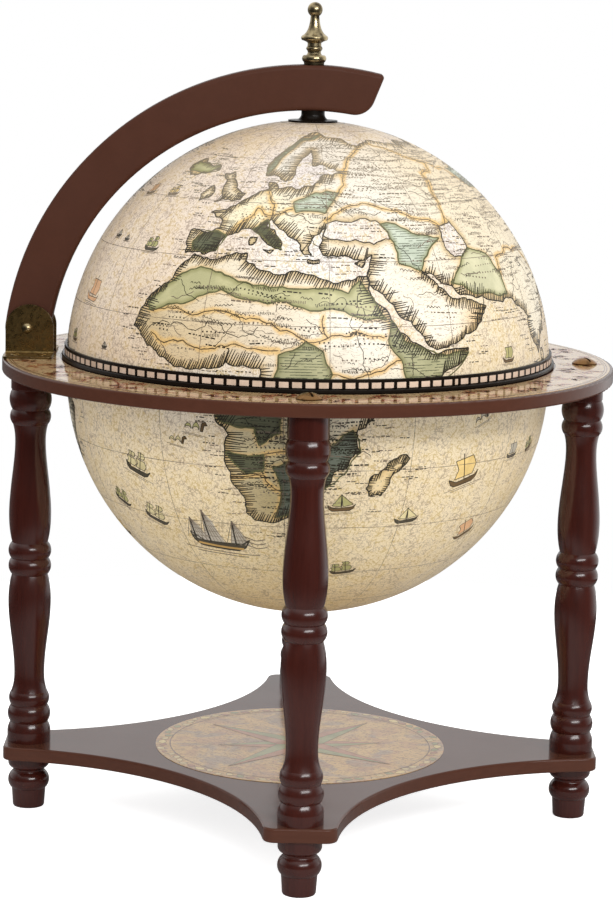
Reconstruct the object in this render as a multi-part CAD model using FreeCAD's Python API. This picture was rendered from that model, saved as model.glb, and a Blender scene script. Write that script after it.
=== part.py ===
# Globe bar on a four-legged stand: a globe whose upper half tilts back on a
# quarter meridian arm, over a bowl that holds a bottle and three glasses.
# Millimetres, +Z up. The origin is on the floor, midway between the feet.
# The hinge stands over the left leg (-X) and the arm swings out to the left.
import FreeCAD, Part
import math
import os

Vector = FreeCAD.Vector
X_AXIS = Vector(1, 0, 0)
Y_AXIS = Vector(0, 1, 0)
Z_AXIS = Vector(0, 0, 1)

# Fits and clearances
GLUE_GAP = 0.1          # glued skins and trim
THREAD_GAP = 0.05       # a screw or stud in its hole, on the radius
RUN_GAP = 0.05          # a shaft that turns in its hole, on the radius
PRESS_GAP = 0.02        # the pivot pin in the cheeks, on the radius
SPIN_GAP = 0.2          # flat faces that turn past each other
REST_GAP = 0.1          # the bowl's lip over the ring
PARTING_GAP = 0.3       # lid over bowl when shut
OVERRUN = 5.0           # how far a cutting tool runs past a face

# Globe
GLOBE_R = 166.0
SHELL_T = 4.5
LINING_T = 0.8
BOWL_DROP_GAP = 0.8     # the bowl in the ring's hole, on the radius
BOWL_COLLAR_H = 8.8     # straight collar of the bowl, above its half sphere
RIM_T = 3.2
RIM_OVERHANG = 3.3      # how far the black lip stands out past the bowl
RIM_EDGE_R = 0.9
LID_EDGE_RISE = 5.7     # the lid's edge over the centre of its sphere
LID_SEAT_R = 19.0       # flat on the crown, under the collar
BAND_H = 6.0
BAND_T = 1.5
BAND_EDGE_R = 0.5
SPIGOT_GAP = 0.8        # the lid's inner ring in the bowl, on the radius
SPIGOT_H = 2.8
SPIGOT_T = 5.0
SPIGOT_GRIP = 9.5       # how far the inner ring is glued up inside the lid
SPIGOT_CHAMFER = 1.0

# Ring board
RING_W = 43.2           # from the bowl's hole to the outer edge
RING_T = 9.0
RING_EDGE_R = 1.2
RING_PRINT_MARGIN = 2.5
PRINT_T = 0.3           # printed paper under lacquer

# Legs and feet
LEG_INSET = 19.0        # a leg's axis, in from the ring's outer edge
FOOT_H = 37.7
FOOT_R = 15.0
LEG_H = 265.3
LEG_R = 15.1

# Shelf board
SHELF_T = 9.6
SHELF_END = 16.6        # from a leg's axis to the flat end outside it
SHELF_END_W = 47.0      # width of a flat end, before its corners are rounded
SHELF_CORNER_R = 8.0
SHELF_EDGE_R = 1.5
SHELF_WAIST_SHARE = 0.604   # from the middle to a hollow side, as a share of the legs' circle
SHELF_PRINT_SHARE = 0.880   # printed disc, as a share of the same

# Boards inside the bowl
TRAY_T = 6.0
GLASS_TRAY_DROP = 38.0  # top of the glass tray under the ring's top
GLASS_DEPTH = 34.0      # clear height between the two boards
BOTTLE_HOLE_R = 44.0
GLASS_HOLE_R = 35.0
GLASS_CIRCLE_R = 100.0
GLASS_COUNT = 3
GLASS_TURN = 0.0        # direction of the first glass, degrees from +X
BOTTLE_REST_RISE = 12.0  # underside of the bottle's board over the lining
TRAY_EDGE_R = 1.5

# Meridian arm
ARM_W = 30.8
ARM_T = 20.0
ARM_ARC_BACKSET = 1.7   # the arc's centre, towards the hinge from the globe's axis
ARM_ARC_DROP = 6.6      # the arc's centre under the ring's top
ARM_REACH = 48.4        # where the slanted end meets the outer edge, past the axis
ARM_END_TILT = 21.5     # degrees from upright
ARM_TOE_R = 2.5
ARM_HEEL_R = 14.0
ARM_EDGE_R = 3.0
ARM_SPOT_DEPTH = 0.3    # flats milled for the collar and the finial

# Hinge
PIVOT_RISE = 18.6       # pivot over the ring's print
PIVOT_BACKSET = 1.8     # pivot outside the hinge leg's axis
PIN_R = 2.6
PIN_HEAD_R = 3.6
PIN_HEAD_H = 2.1
WASHER_R = 8.0
WASHER_T = 0.8
WASHER_GAP = 0.1
CHEEK_BORDER = 1.1      # how far a cheek stands out past each edge of the arm
CHEEK_T = 1.6
CHEEK_BEND_R = 1.4
PLATE_FOOT_L = 22.0     # foot of a hinge plate, measured from its cheek's inner face
PLATE_CORNER_R = 2.5
PLATE_SCREW_SPREAD = 18.0
PLATE_SCREW_SET = 12.0  # screws, from the cheek's inner face
HINGE_SCREW_R = 1.6
HINGE_SCREW_HEAD_R = 3.1
HINGE_SCREW_HEAD_H = 1.3
HINGE_SCREW_BITE = 7.5
HINGE_SCREW_SLOT = 0.7

# Bolts and studs
BOLT_R = 3.0
BOLT_HEAD_R = 8.5
BOLT_HEAD_H = 4.4
BOLT_HEAD_EDGE = 0.9
BOLT_SLOT_W = 1.7
BOLT_SLOT_DEPTH = 2.0
BOLT_SLOT_TURNS = {"front": -72, "right": -56, "back": 35}  # as each was left, degrees from +X
SUNK_HEAD_R = 7.0
INSERT_R = 5.0
INSERT_L = 15.0
BOLT_BITE = 12.0        # bolt inside its insert
STUD_FOOT_BITE = 25.0
STUD_LEG_BITE = 30.0
HOLE_FOOT = 0.5         # blind holes run this much past what they hold

# Spindle
SPINDLE_R = 3.0
COLLAR_R = 8.0
COLLAR_FLANGE_R = 16.8
COLLAR_FLANGE_T = 1.2
COLLAR_FLARE = 4.2
COLLAR_NOSE_R = 5.5
CROWN_WASHER_R = 14.0
CROWN_WASHER_T = 1.5
NUT_FLAT_R = 7.0        # half the width across flats
NUT_H = 5.0
NUT_DOME_H = 3.5
FINIAL_H = 42.4
FINIAL_R = 9.15
FINIAL_BITE = 11.0      # spindle inside the finial

# Turned outlines. Each step leads on from the last point, as shares of the piece's
# length and of its largest radius: a line to a point, an arc through a point to a
# point, or a smooth curve through several points.
FOOT_START_SHARE = 0.700
FOOT_TURNING_SHARES = (
    ("line", (0.025, 0.735)),
    ("line", (0.345, 0.790)),
    ("arc", (0.515, 0.960), (0.665, 0.775)),
    ("arc", (0.700, 0.730), (0.745, 0.820)),
    ("arc", (0.790, 0.930), (0.830, 0.960)),
    ("line", (1.000, 0.960)),
)
LEG_START_SHARE = 1.0
LEG_TURNING_SHARES = (
    ("line", (0.028, 1.000)),
    ("arc", (0.044, 0.935), (0.052, 0.864)),
    ("arc", (0.074, 0.987), (0.096, 0.861)),
    ("line", (0.100, 0.861)),
    ("arc", (0.114, 0.934), (0.134, 0.834)),
    ("curve", (0.153, 0.738), (0.189, 0.695), (0.254, 0.775), (0.320, 0.917),
     (0.373, 0.980), (0.415, 0.947), (0.450, 0.821)),
    ("arc", (0.473, 0.980), (0.493, 0.854)),
    ("arc", (0.515, 0.983), (0.536, 0.821)),
    ("curve", (0.566, 0.921), (0.608, 0.967), (0.661, 0.924), (0.720, 0.815),
     (0.796, 0.702), (0.832, 0.735), (0.849, 0.801)),
    ("arc", (0.868, 0.940), (0.888, 0.834)),
    ("arc", (0.915, 0.967), (0.940, 0.854)),
    ("line", (0.943, 0.894)),
    ("line", (1.000, 0.894)),
)
FINIAL_START_SHARE = 0.740
FINIAL_TURNING_SHARES = (
    ("line", (0.046, 0.765)),
    ("arc", (0.100, 0.900), (0.156, 0.800)),
    ("arc", (0.190, 0.500), (0.232, 0.530)),
    ("arc", (0.264, 0.605), (0.300, 0.515)),
    ("line", (0.352, 0.505)),
    ("arc", (0.378, 0.700), (0.394, 0.920)),
    ("arc", (0.425, 1.000), (0.470, 0.900)),
    ("curve", (0.500, 0.720), (0.560, 0.530), (0.635, 0.415), (0.715, 0.350), (0.790, 0.318)),
)
FINIAL_BALL_SHARE = 0.557

# Levels and places worked out from the sizes above
shelf_z = FOOT_H
leg_z = shelf_z + SHELF_T
ring_z = leg_z + LEG_H
ring_top = ring_z + RING_T
print_top = ring_top + PRINT_T

ring_hole_r = GLOBE_R + BOWL_DROP_GAP
ring_r = ring_hole_r + RING_W
leg_circle_r = ring_r - LEG_INSET
shelf_reach = leg_circle_r + SHELF_END
shelf_waist_r = SHELF_WAIST_SHARE * leg_circle_r
shelf_print_r = SHELF_PRINT_SHARE * shelf_waist_r

bowl_centre_z = ring_top - BOWL_COLLAR_H
rim_z = ring_top + REST_GAP
rim_top = rim_z + RIM_T
rim_r = GLOBE_R + RIM_OVERHANG
shell_inner_r = GLOBE_R - SHELL_T
lining_outer_r = shell_inner_r - GLUE_GAP
lining_inner_r = lining_outer_r - LINING_T

lid_z = rim_top + PARTING_GAP
lid_centre_z = lid_z - LID_EDGE_RISE
lid_seat_z = lid_centre_z + math.sqrt(GLOBE_R ** 2 - LID_SEAT_R ** 2)

glass_tray_top = ring_top - GLASS_TRAY_DROP
tray_floor_top = glass_tray_top - TRAY_T - GLASS_DEPTH
bottle_rest_z = bowl_centre_z - lining_inner_r + BOTTLE_REST_RISE

pivot = Vector(-leg_circle_r - PIVOT_BACKSET, 0, print_top + PIVOT_RISE)
arm_arc = Vector(-ARM_ARC_BACKSET, 0, ring_top - ARM_ARC_DROP)
arm_mid_r = math.hypot(pivot.x - arm_arc.x, pivot.z - arm_arc.z)
arm_outer_r = arm_mid_r + ARM_W / 2
arm_inner_r = arm_mid_r - ARM_W / 2
arm_underside_z = arm_arc.z + math.sqrt(arm_inner_r ** 2 - ARM_ARC_BACKSET ** 2) + ARM_SPOT_DEPTH
arm_topside_z = arm_arc.z + math.sqrt(arm_outer_r ** 2 - ARM_ARC_BACKSET ** 2) - ARM_SPOT_DEPTH
cheek_w = ARM_W + 2 * CHEEK_BORDER
cheek_y = ARM_T / 2 + WASHER_T + 2 * WASHER_GAP   # inner face of each cheek
plate_top = print_top + CHEEK_T

collar_z = lid_seat_z + SPIN_GAP
crown_inner_z = lid_centre_z + math.sqrt(lining_inner_r ** 2 - CROWN_WASHER_R ** 2)
crown_washer_top = crown_inner_z - GLUE_GAP
crown_washer_z = crown_washer_top - CROWN_WASHER_T
nose_z = crown_washer_z - SPIN_GAP
spindle_z = nose_z - NUT_H

LEG_PLACES = (
    ("front", Vector(0, -leg_circle_r, 0)),
    ("right", Vector(leg_circle_r, 0, 0)),
    ("back", Vector(0, leg_circle_r, 0)),
    ("left", Vector(-leg_circle_r, 0, 0)),
)
hinge_leg = Vector(-leg_circle_r, 0, 0)
plate_screw_places = [
    Vector(hinge_leg.x + side * PLATE_SCREW_SPREAD / 2, end * (cheek_y + PLATE_SCREW_SET), 0)
    for side in (-1, 1) for end in (-1, 1)
]


# Shared shapes
def at(place, z):
    return Vector(place.x, place.y, z)


def rz(r, z):
    """A point of an outline that is turned about Z."""
    return Vector(r, 0, z)


def line(start, end):
    return Part.LineSegment(start, end).toShape()


def arc(start, middle, end):
    return Part.Arc(start, middle, end).toShape()


def post(radius, place, low, high):
    """An upright cylinder from one level to another."""
    return Part.makeCylinder(radius, high - low, at(place, low), Z_AXIS)


def turned(edges):
    """A solid turned about Z from the closed outline that the edges make."""
    outline = Part.Wire(Part.__sortEdges__(edges))
    return Part.Face(outline).revolve(Vector(), Z_AXIS, 360)


def tube(inner, outer, low, high):
    return post(outer, Vector(), low, high).cut(post(inner, Vector(), low - OVERRUN, high + OVERRUN))


def ball(radius, centre_z):
    return Part.makeSphere(radius, Vector(0, 0, centre_z))


def turning_edges(steps, start_share, length, radius):
    """The outer edges of a turned piece, from its foot to its head."""
    here = rz(start_share * radius, 0)
    edges = []
    for kind, *shares in steps:
        points = [rz(r_share * radius, z_share * length) for z_share, r_share in shares]
        if kind == "line":
            edges.append(line(here, points[0]))
        elif kind == "arc":
            edges.append(arc(here, points[0], points[1]))
        else:
            curve = Part.BSplineCurve()
            curve.interpolate([here] + points)
            edges.append(curve.toShape())
        here = points[-1]
    return edges, here


def flat_spindle(steps, start_share, length, radius):
    """A turned piece with flat ends, standing on the origin."""
    edges, head = turning_edges(steps, start_share, length, radius)
    foot = rz(start_share * radius, 0)
    edges.append(line(head, rz(0, length)))
    edges.append(line(rz(0, length), Vector()))
    edges.append(line(Vector(), foot))
    return turned(edges)


def edges_at(shape, level):
    """The edges of a shape that lie flat at a level."""
    found = []
    for edge in shape.Edges:
        box = edge.BoundBox
        if max(abs(box.ZMin - level), abs(box.ZMax - level)) < PRESS_GAP:
            found.append(edge)
    return found


def upright_edges(shape):
    """The straight edges of a shape that run along Z."""
    found = []
    for edge in shape.Edges:
        box = edge.BoundBox
        if box.XLength + box.YLength < box.ZLength / 1000:
            found.append(edge)
    return found


def save(name, shape):
    shape.exportStep("parts/" + name + ".step")


def compound(shapes):
    return Part.makeCompound(shapes)


# Shelf, feet and legs
def hollow_side():
    """Where a hollow side's arc is centred, along X and along Y, and its radius.

    The arc passes through the corner of a flat end and comes as near the middle as the waist.
    """
    corner = SHELF_END_W / 2
    waist = shelf_waist_r
    spread = 2 * (shelf_reach + corner - math.sqrt(2) * waist)
    centre = (shelf_reach ** 2 + corner ** 2 - waist ** 2) / spread
    return centre, math.sqrt(2) * centre - waist


def shelf_board():
    size = 2 * shelf_reach
    board = Part.makeBox(size, size, SHELF_T, Vector(-shelf_reach, -shelf_reach, shelf_z))
    side_set, side_r = hollow_side()
    for side_x in (-1, 1):
        for side_y in (-1, 1):
            centre = Vector(side_x * side_set, side_y * side_set, 0)
            board = board.cut(post(side_r, centre, shelf_z - OVERRUN, leg_z + OVERRUN))
    board = board.makeFillet(SHELF_CORNER_R, upright_edges(board))
    board = board.makeFillet(SHELF_EDGE_R, edges_at(board, leg_z) + edges_at(board, shelf_z))
    for _, place in LEG_PLACES:
        board = board.cut(post(BOLT_R + THREAD_GAP, place, shelf_z - OVERRUN, leg_z + OVERRUN))
    return board


def shelf_print():
    return post(shelf_print_r, Vector(), leg_z, leg_z + PRINT_T)


def foot(place):
    body = flat_spindle(FOOT_TURNING_SHARES, FOOT_START_SHARE, FOOT_H, FOOT_R)
    hole_z = FOOT_H - STUD_FOOT_BITE - HOLE_FOOT
    body = body.cut(post(BOLT_R + THREAD_GAP, Vector(), hole_z, FOOT_H + OVERRUN))
    body.translate(place)
    return body


def leg(place):
    body = flat_spindle(LEG_TURNING_SHARES, LEG_START_SHARE, LEG_H, LEG_R)
    body = body.cut(post(BOLT_R + THREAD_GAP, Vector(), -OVERRUN, STUD_LEG_BITE + HOLE_FOOT))
    insert_hole_z = LEG_H - INSERT_L
    body = body.cut(post(INSERT_R + THREAD_GAP, Vector(), insert_hole_z, LEG_H + OVERRUN))
    body.translate(at(place, leg_z))
    return body


def hanger_bolts():
    low = shelf_z - STUD_FOOT_BITE
    high = leg_z + STUD_LEG_BITE
    return compound([post(BOLT_R, place, low, high) for _, place in LEG_PLACES])


def leg_inserts():
    inserts = []
    for _, place in LEG_PLACES:
        body = post(INSERT_R, place, ring_z - INSERT_L, ring_z)
        bore = post(BOLT_R + THREAD_GAP, place, ring_z - INSERT_L - OVERRUN, ring_z + OVERRUN)
        inserts.append(body.cut(bore))
    return compound(inserts)


# Ring
def sunk_head(place, gap):
    """The countersunk head of the hinge leg's bolt, or its seat, level with the ring."""
    depth = SUNK_HEAD_R - BOLT_R
    return Part.makeCone(BOLT_R + gap, SUNK_HEAD_R + gap, depth, at(place, ring_top - depth), Z_AXIS)


def ring_board():
    board = tube(ring_hole_r, ring_r, ring_z, ring_top)
    board = board.makeFillet(RING_EDGE_R, edges_at(board, ring_top) + edges_at(board, ring_z))
    for _, place in LEG_PLACES:
        board = board.cut(post(BOLT_R + THREAD_GAP, place, ring_z - OVERRUN, ring_top + OVERRUN))
    board = board.cut(sunk_head(hinge_leg, THREAD_GAP))
    for place in plate_screw_places:
        pilot_z = ring_top - HINGE_SCREW_BITE - HOLE_FOOT
        board = board.cut(post(HINGE_SCREW_R + THREAD_GAP, place, pilot_z, ring_top + OVERRUN))
    return board


def ring_print():
    skin = tube(rim_r + RING_PRINT_MARGIN / 2, ring_r - RING_PRINT_MARGIN, ring_top, print_top)
    for name, place in LEG_PLACES:
        radius = SUNK_HEAD_R if name == "left" else BOLT_R
        skin = skin.cut(post(radius + GLUE_GAP, place, ring_z, print_top + OVERRUN))
    for place in plate_screw_places:
        skin = skin.cut(post(HINGE_SCREW_R + GLUE_GAP, place, ring_z, print_top + OVERRUN))
    return skin


def domed_bolt(place, seat_z, shank_r, tip_z, head_r, head_h, edge_h, slot_w, slot_depth, slot_turn=0):
    """A slotted bolt with a domed head that sits on a face. The slot is turned from +X, in degrees."""
    crown = rz(0, seat_z + head_h)
    brow = rz(head_r, seat_z + edge_h)
    dome_h = head_h - edge_h
    dome_r = (head_r ** 2 + dome_h ** 2) / (2 * dome_h)
    side = math.asin(head_r / dome_r) / 2
    middle = rz(dome_r * math.sin(side), crown.z - dome_r * (1 - math.cos(side)))
    bolt = turned([
        arc(crown, middle, brow),
        line(brow, rz(head_r, seat_z)),
        line(rz(head_r, seat_z), rz(shank_r, seat_z)),
        line(rz(shank_r, seat_z), rz(shank_r, tip_z)),
        line(rz(shank_r, tip_z), rz(0, tip_z)),
        line(rz(0, tip_z), crown),
    ])
    corner = Vector(-head_r, -slot_w / 2, crown.z - slot_depth)
    bolt = bolt.cut(Part.makeBox(2 * head_r, slot_w, head_h, corner))
    bolt.rotate(Vector(), Z_AXIS, slot_turn)
    bolt.translate(place)
    return bolt


def ring_bolts():
    tip_z = ring_z - BOLT_BITE
    return compound([
        domed_bolt(place, print_top, BOLT_R, tip_z, BOLT_HEAD_R, BOLT_HEAD_H,
                   BOLT_HEAD_EDGE, BOLT_SLOT_W, BOLT_SLOT_DEPTH, BOLT_SLOT_TURNS[name])
        for name, place in LEG_PLACES if name in BOLT_SLOT_TURNS
    ])


def hinge_leg_bolt():
    bolt = post(BOLT_R, hinge_leg, ring_z - BOLT_BITE, ring_top).fuse(sunk_head(hinge_leg, 0))
    corner = Vector(hinge_leg.x - SUNK_HEAD_R, -BOLT_SLOT_W / 2, ring_top - BOLT_SLOT_DEPTH)
    slot = Part.makeBox(2 * SUNK_HEAD_R, BOLT_SLOT_W, BOLT_HEAD_H, corner)
    return bolt.cut(slot).removeSplitter()


# Hinge
def hinge_plate(end):
    """A cheek and its outward foot, bent from one sheet; end is -1 in front, 1 behind."""
    outer_bend = CHEEK_BEND_R + CHEEK_T
    top_z = pivot.z + cheek_w / 2
    inner = cheek_y
    outer = cheek_y + CHEEK_T
    tip = cheek_y + PLATE_FOOT_L
    bend_y = inner + outer_bend
    bend_z = print_top + outer_bend
    diagonal = math.sqrt(0.5)

    def yz(y, z):
        return Vector(hinge_leg.x - cheek_w / 2, end * y, z)

    def on_bend(radius):
        return yz(bend_y - radius * diagonal, bend_z - radius * diagonal)

    outline = Part.Wire(Part.__sortEdges__([
        line(yz(inner, top_z), yz(inner, bend_z)),
        arc(yz(inner, bend_z), on_bend(outer_bend), yz(bend_y, print_top)),
        line(yz(bend_y, print_top), yz(tip, print_top)),
        line(yz(tip, print_top), yz(tip, plate_top)),
        line(yz(tip, plate_top), yz(bend_y, plate_top)),
        arc(yz(bend_y, plate_top), on_bend(CHEEK_BEND_R), yz(outer, bend_z)),
        line(yz(outer, bend_z), yz(outer, top_z)),
        line(yz(outer, top_z), yz(inner, top_z)),
    ]))
    plate = Part.Face(outline).extrude(Vector(cheek_w, 0, 0))
    plate = plate.common(hinge_plate_front_view())
    corners = [edge for edge in upright_edges(plate) if abs(abs(edge.CenterOfMass.y) - tip) < CHEEK_T]
    plate = plate.makeFillet(PLATE_CORNER_R, corners)
    pin_hole = Part.makeCylinder(PIN_R + PRESS_GAP, 2 * tip, Vector(pivot.x, -tip, pivot.z), Y_AXIS)
    plate = plate.cut(pin_hole)
    for place in plate_screw_places:
        plate = plate.cut(post(HINGE_SCREW_R + THREAD_GAP, place, ring_z, plate_top + OVERRUN))
    return plate


def hinge_plate_front_view():
    """What a hinge plate fills when seen from the front: a square foot under a round top."""
    depth = 2 * (cheek_y + PLATE_FOOT_L)
    low = Vector(hinge_leg.x - cheek_w / 2, -depth / 2, print_top)
    square = Part.makeBox(cheek_w, depth, pivot.z - print_top, low)
    middle = Vector(hinge_leg.x, -depth / 2, pivot.z)
    return square.fuse(Part.makeCylinder(cheek_w / 2, depth, middle, Y_AXIS))


def hinge_screws():
    tip_z = ring_top - HINGE_SCREW_BITE
    return compound([
        domed_bolt(place, plate_top, HINGE_SCREW_R, tip_z, HINGE_SCREW_HEAD_R,
                   HINGE_SCREW_HEAD_H, HINGE_SCREW_HEAD_H / 3, HINGE_SCREW_SLOT,
                   HINGE_SCREW_HEAD_H / 2)
        for place in plate_screw_places
    ])


def pivot_pin():
    """A rivet along Y, with a dome over each cheek."""
    face = cheek_y + CHEEK_T
    crown_r = (PIN_HEAD_R ** 2 + PIN_HEAD_H ** 2) / (2 * PIN_HEAD_H)
    side = math.asin(PIN_HEAD_R / crown_r) / 2

    def dome(sign):
        top = rz(0, sign * (face + PIN_HEAD_H))
        middle_z = face + PIN_HEAD_H - crown_r * (1 - math.cos(side))
        return top, rz(crown_r * math.sin(side), sign * middle_z), rz(PIN_HEAD_R, sign * face)

    head_top, head_middle, head_brim = dome(1)
    tail_top, tail_middle, tail_brim = dome(-1)
    pin = turned([
        arc(head_top, head_middle, head_brim),
        line(head_brim, rz(PIN_R, face)),
        line(rz(PIN_R, face), rz(PIN_R, -face)),
        line(rz(PIN_R, -face), tail_brim),
        arc(tail_brim, tail_middle, tail_top),
        line(tail_top, head_top),
    ])
    pin.rotate(Vector(), X_AXIS, 90)
    pin.translate(pivot)
    return pin


def pivot_washers():
    washers = []
    for face in (-ARM_T / 2 - WASHER_GAP - WASHER_T, ARM_T / 2 + WASHER_GAP):
        start = Vector(pivot.x, face, pivot.z)
        disc = Part.makeCylinder(WASHER_R, WASHER_T, start, Y_AXIS)
        washers.append(disc.cut(Part.makeCylinder(PIN_R + RUN_GAP, WASHER_T, start, Y_AXIS)))
    return compound(washers)


# Bowl
def cup(outer_r, inner_r):
    """A half sphere with a straight collar, open at the top."""
    centre = bowl_centre_z
    diagonal = math.sqrt(0.5)

    def below(radius):
        return rz(radius * diagonal, centre - radius * diagonal)

    return turned([
        arc(rz(0, centre - outer_r), below(outer_r), rz(outer_r, centre)),
        line(rz(outer_r, centre), rz(outer_r, rim_z)),
        line(rz(outer_r, rim_z), rz(inner_r, rim_z)),
        line(rz(inner_r, rim_z), rz(inner_r, centre)),
        arc(rz(inner_r, centre), below(inner_r), rz(0, centre - inner_r)),
        line(rz(0, centre - inner_r), rz(0, centre - outer_r)),
    ])


def bowl_rim():
    rim = tube(lining_inner_r, rim_r, rim_z, rim_top)
    outer = [edge for edge in rim.Edges if edge.BoundBox.XLength > 2 * GLOBE_R]
    return rim.makeFillet(RIM_EDGE_R, [edge for edge in outer if edge.BoundBox.ZLength < RIM_T / 2])


def bowl_board(low):
    """A round board that fits the bowl, with its edge cut to the lining."""
    board = post(GLOBE_R, Vector(), low, low + TRAY_T)
    return board.common(ball(lining_inner_r - GLUE_GAP, bowl_centre_z))


def glass_tray():
    low = glass_tray_top - TRAY_T
    board = bowl_board(low)
    board = board.cut(post(BOTTLE_HOLE_R, Vector(), low - OVERRUN, glass_tray_top + OVERRUN))
    for index in range(GLASS_COUNT):
        angle = math.radians(GLASS_TURN + index * 360 / GLASS_COUNT)
        place = Vector(GLASS_CIRCLE_R * math.cos(angle), GLASS_CIRCLE_R * math.sin(angle), 0)
        board = board.cut(post(GLASS_HOLE_R, place, low - OVERRUN, glass_tray_top + OVERRUN))
    holes = [edge for edge in edges_at(board, glass_tray_top) if edge.BoundBox.XLength < GLOBE_R]
    return board.makeFillet(TRAY_EDGE_R, holes)


def tray_floor():
    low = tray_floor_top - TRAY_T
    return bowl_board(low).cut(post(BOTTLE_HOLE_R, Vector(), low - OVERRUN, tray_floor_top + OVERRUN))


def bottle_rest():
    return bowl_board(bottle_rest_z)


# Arm
def y_edges(shape):
    """The straight edges of a shape that run along Y."""
    found = []
    for edge in shape.Edges:
        box = edge.BoundBox
        if box.XLength + box.ZLength < box.YLength / 1000:
            found.append(edge)
    return found


def arm_bar():
    """The arm's flat outline at full thickness, before its edges are rounded."""
    far = 2 * arm_outer_r
    front = -ARM_T / 2
    start = Vector(arm_arc.x, front, arm_arc.z)
    bar = Part.makeCylinder(arm_outer_r, ARM_T, start, Y_AXIS)
    bar = bar.cut(Part.makeCylinder(arm_inner_r, ARM_T, start, Y_AXIS))
    toe_z = arm_arc.z + math.sqrt(arm_outer_r ** 2 - (ARM_REACH - arm_arc.x) ** 2)
    tilt = math.tan(math.radians(ARM_END_TILT))
    root = pivot - arm_arc
    keep = Part.makePolygon([
        start,
        start + Vector(2 * root.x, 0, 2 * root.z),
        Vector(-far, front, toe_z + far),
        Vector(ARM_REACH + far * tilt, front, toe_z + far),
        Vector(ARM_REACH - (toe_z - arm_arc.z) * tilt, front, arm_arc.z),
        start,
    ])
    bar = bar.common(Part.Face(keep).extrude(Vector(0, ARM_T, 0)))
    corners = [edge for edge in y_edges(bar) if edge.CenterOfMass.x > 0]
    corners.sort(key=lambda edge: edge.CenterOfMass.z)
    heel, toe = corners
    bar = bar.makeFillet(ARM_HEEL_R, [heel])
    toe = max(y_edges(bar), key=lambda edge: edge.CenterOfMass.x)
    return bar.makeFillet(ARM_TOE_R, [toe])


def meridian_arm():
    knuckle = Part.makeCylinder(ARM_W / 2, ARM_T, Vector(pivot.x, -ARM_T / 2, pivot.z), Y_AXIS)
    arm = arm_bar().fuse(knuckle).removeSplitter()
    outline = [edge for edge in arm.Edges
               if edge.BoundBox.YLength < ARM_EDGE_R and abs(edge.BoundBox.Center.y) > ARM_T / 4]
    arm = arm.makeFillet(ARM_EDGE_R, outline)
    start = Vector(pivot.x, -ARM_T, pivot.z)
    arm = arm.cut(Part.makeCylinder(PIN_R + RUN_GAP, 2 * ARM_T, start, Y_AXIS))
    arm = arm.cut(post(SPINDLE_R + THREAD_GAP, Vector(), arm_underside_z - ARM_W, arm_topside_z + ARM_W))
    arm = arm.cut(post(COLLAR_R + GLUE_GAP, Vector(), arm_underside_z - OVERRUN, arm_underside_z))
    finial_r = FINIAL_R + GLUE_GAP
    return arm.cut(post(finial_r, Vector(), arm_topside_z, arm_topside_z + OVERRUN))


def spindle_rod():
    return post(SPINDLE_R, Vector(), spindle_z, arm_topside_z + FINIAL_BITE)


def spindle_collar():
    """A black flanged sleeve: the lid turns on its nose, and it stands the lid off the arm."""
    flange_top = collar_z + COLLAR_FLANGE_T
    neck_z = flange_top + COLLAR_FLARE
    neck_r = COLLAR_R + COLLAR_FLARE
    diagonal = math.sqrt(0.5)
    curve = rz(neck_r - COLLAR_FLARE * diagonal, neck_z - COLLAR_FLARE * diagonal)
    bore_r = SPINDLE_R + THREAD_GAP
    return turned([
        line(rz(bore_r, nose_z), rz(COLLAR_NOSE_R, nose_z)),
        line(rz(COLLAR_NOSE_R, nose_z), rz(COLLAR_NOSE_R, collar_z)),
        line(rz(COLLAR_NOSE_R, collar_z), rz(COLLAR_FLANGE_R, collar_z)),
        line(rz(COLLAR_FLANGE_R, collar_z), rz(COLLAR_FLANGE_R, flange_top)),
        line(rz(COLLAR_FLANGE_R, flange_top), rz(neck_r, flange_top)),
        arc(rz(neck_r, flange_top), curve, rz(COLLAR_R, neck_z)),
        line(rz(COLLAR_R, neck_z), rz(COLLAR_R, arm_underside_z)),
        line(rz(COLLAR_R, arm_underside_z), rz(bore_r, arm_underside_z)),
        line(rz(bore_r, arm_underside_z), rz(bore_r, nose_z)),
    ])


def spindle_nut():
    """A cap nut under the crown, hexagonal above and domed below."""
    sides = 6
    corner_r = NUT_FLAT_R / math.cos(math.pi / sides)
    corners = []
    for index in range(sides + 1):
        angle = 2 * math.pi * index / sides
        corners.append(Vector(corner_r * math.cos(angle), corner_r * math.sin(angle), spindle_z))
    nut = Part.Face(Part.makePolygon(corners)).extrude(Vector(0, 0, NUT_H))
    dome_r = (NUT_FLAT_R ** 2 + NUT_DOME_H ** 2) / (2 * NUT_DOME_H)
    dome_z = spindle_z - NUT_DOME_H
    dome = ball(dome_r, dome_z + dome_r)
    nut = nut.fuse(dome.common(post(NUT_FLAT_R, Vector(), dome_z, spindle_z + NUT_H / 2)))
    return nut.cut(post(SPINDLE_R + THREAD_GAP, Vector(), spindle_z, nose_z + OVERRUN))


def finial():
    edges, neck = turning_edges(FINIAL_TURNING_SHARES, FINIAL_START_SHARE, FINIAL_H, FINIAL_R)
    ball_r = FINIAL_BALL_SHARE * FINIAL_R
    ball_z = FINIAL_H - ball_r
    joint_z = ball_z - math.sqrt(ball_r ** 2 - neck.x ** 2)
    joint = rz(neck.x, joint_z)
    edges.append(line(neck, joint))
    edges.append(arc(joint, rz(ball_r, ball_z), rz(0, FINIAL_H)))
    edges.append(line(rz(0, FINIAL_H), Vector()))
    edges.append(line(Vector(), rz(FINIAL_START_SHARE * FINIAL_R, 0)))
    body = turned(edges)
    body = body.cut(post(SPINDLE_R + THREAD_GAP, Vector(), -OVERRUN, FINIAL_BITE + HOLE_FOOT))
    body.translate(Vector(0, 0, arm_topside_z))
    return body


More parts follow.
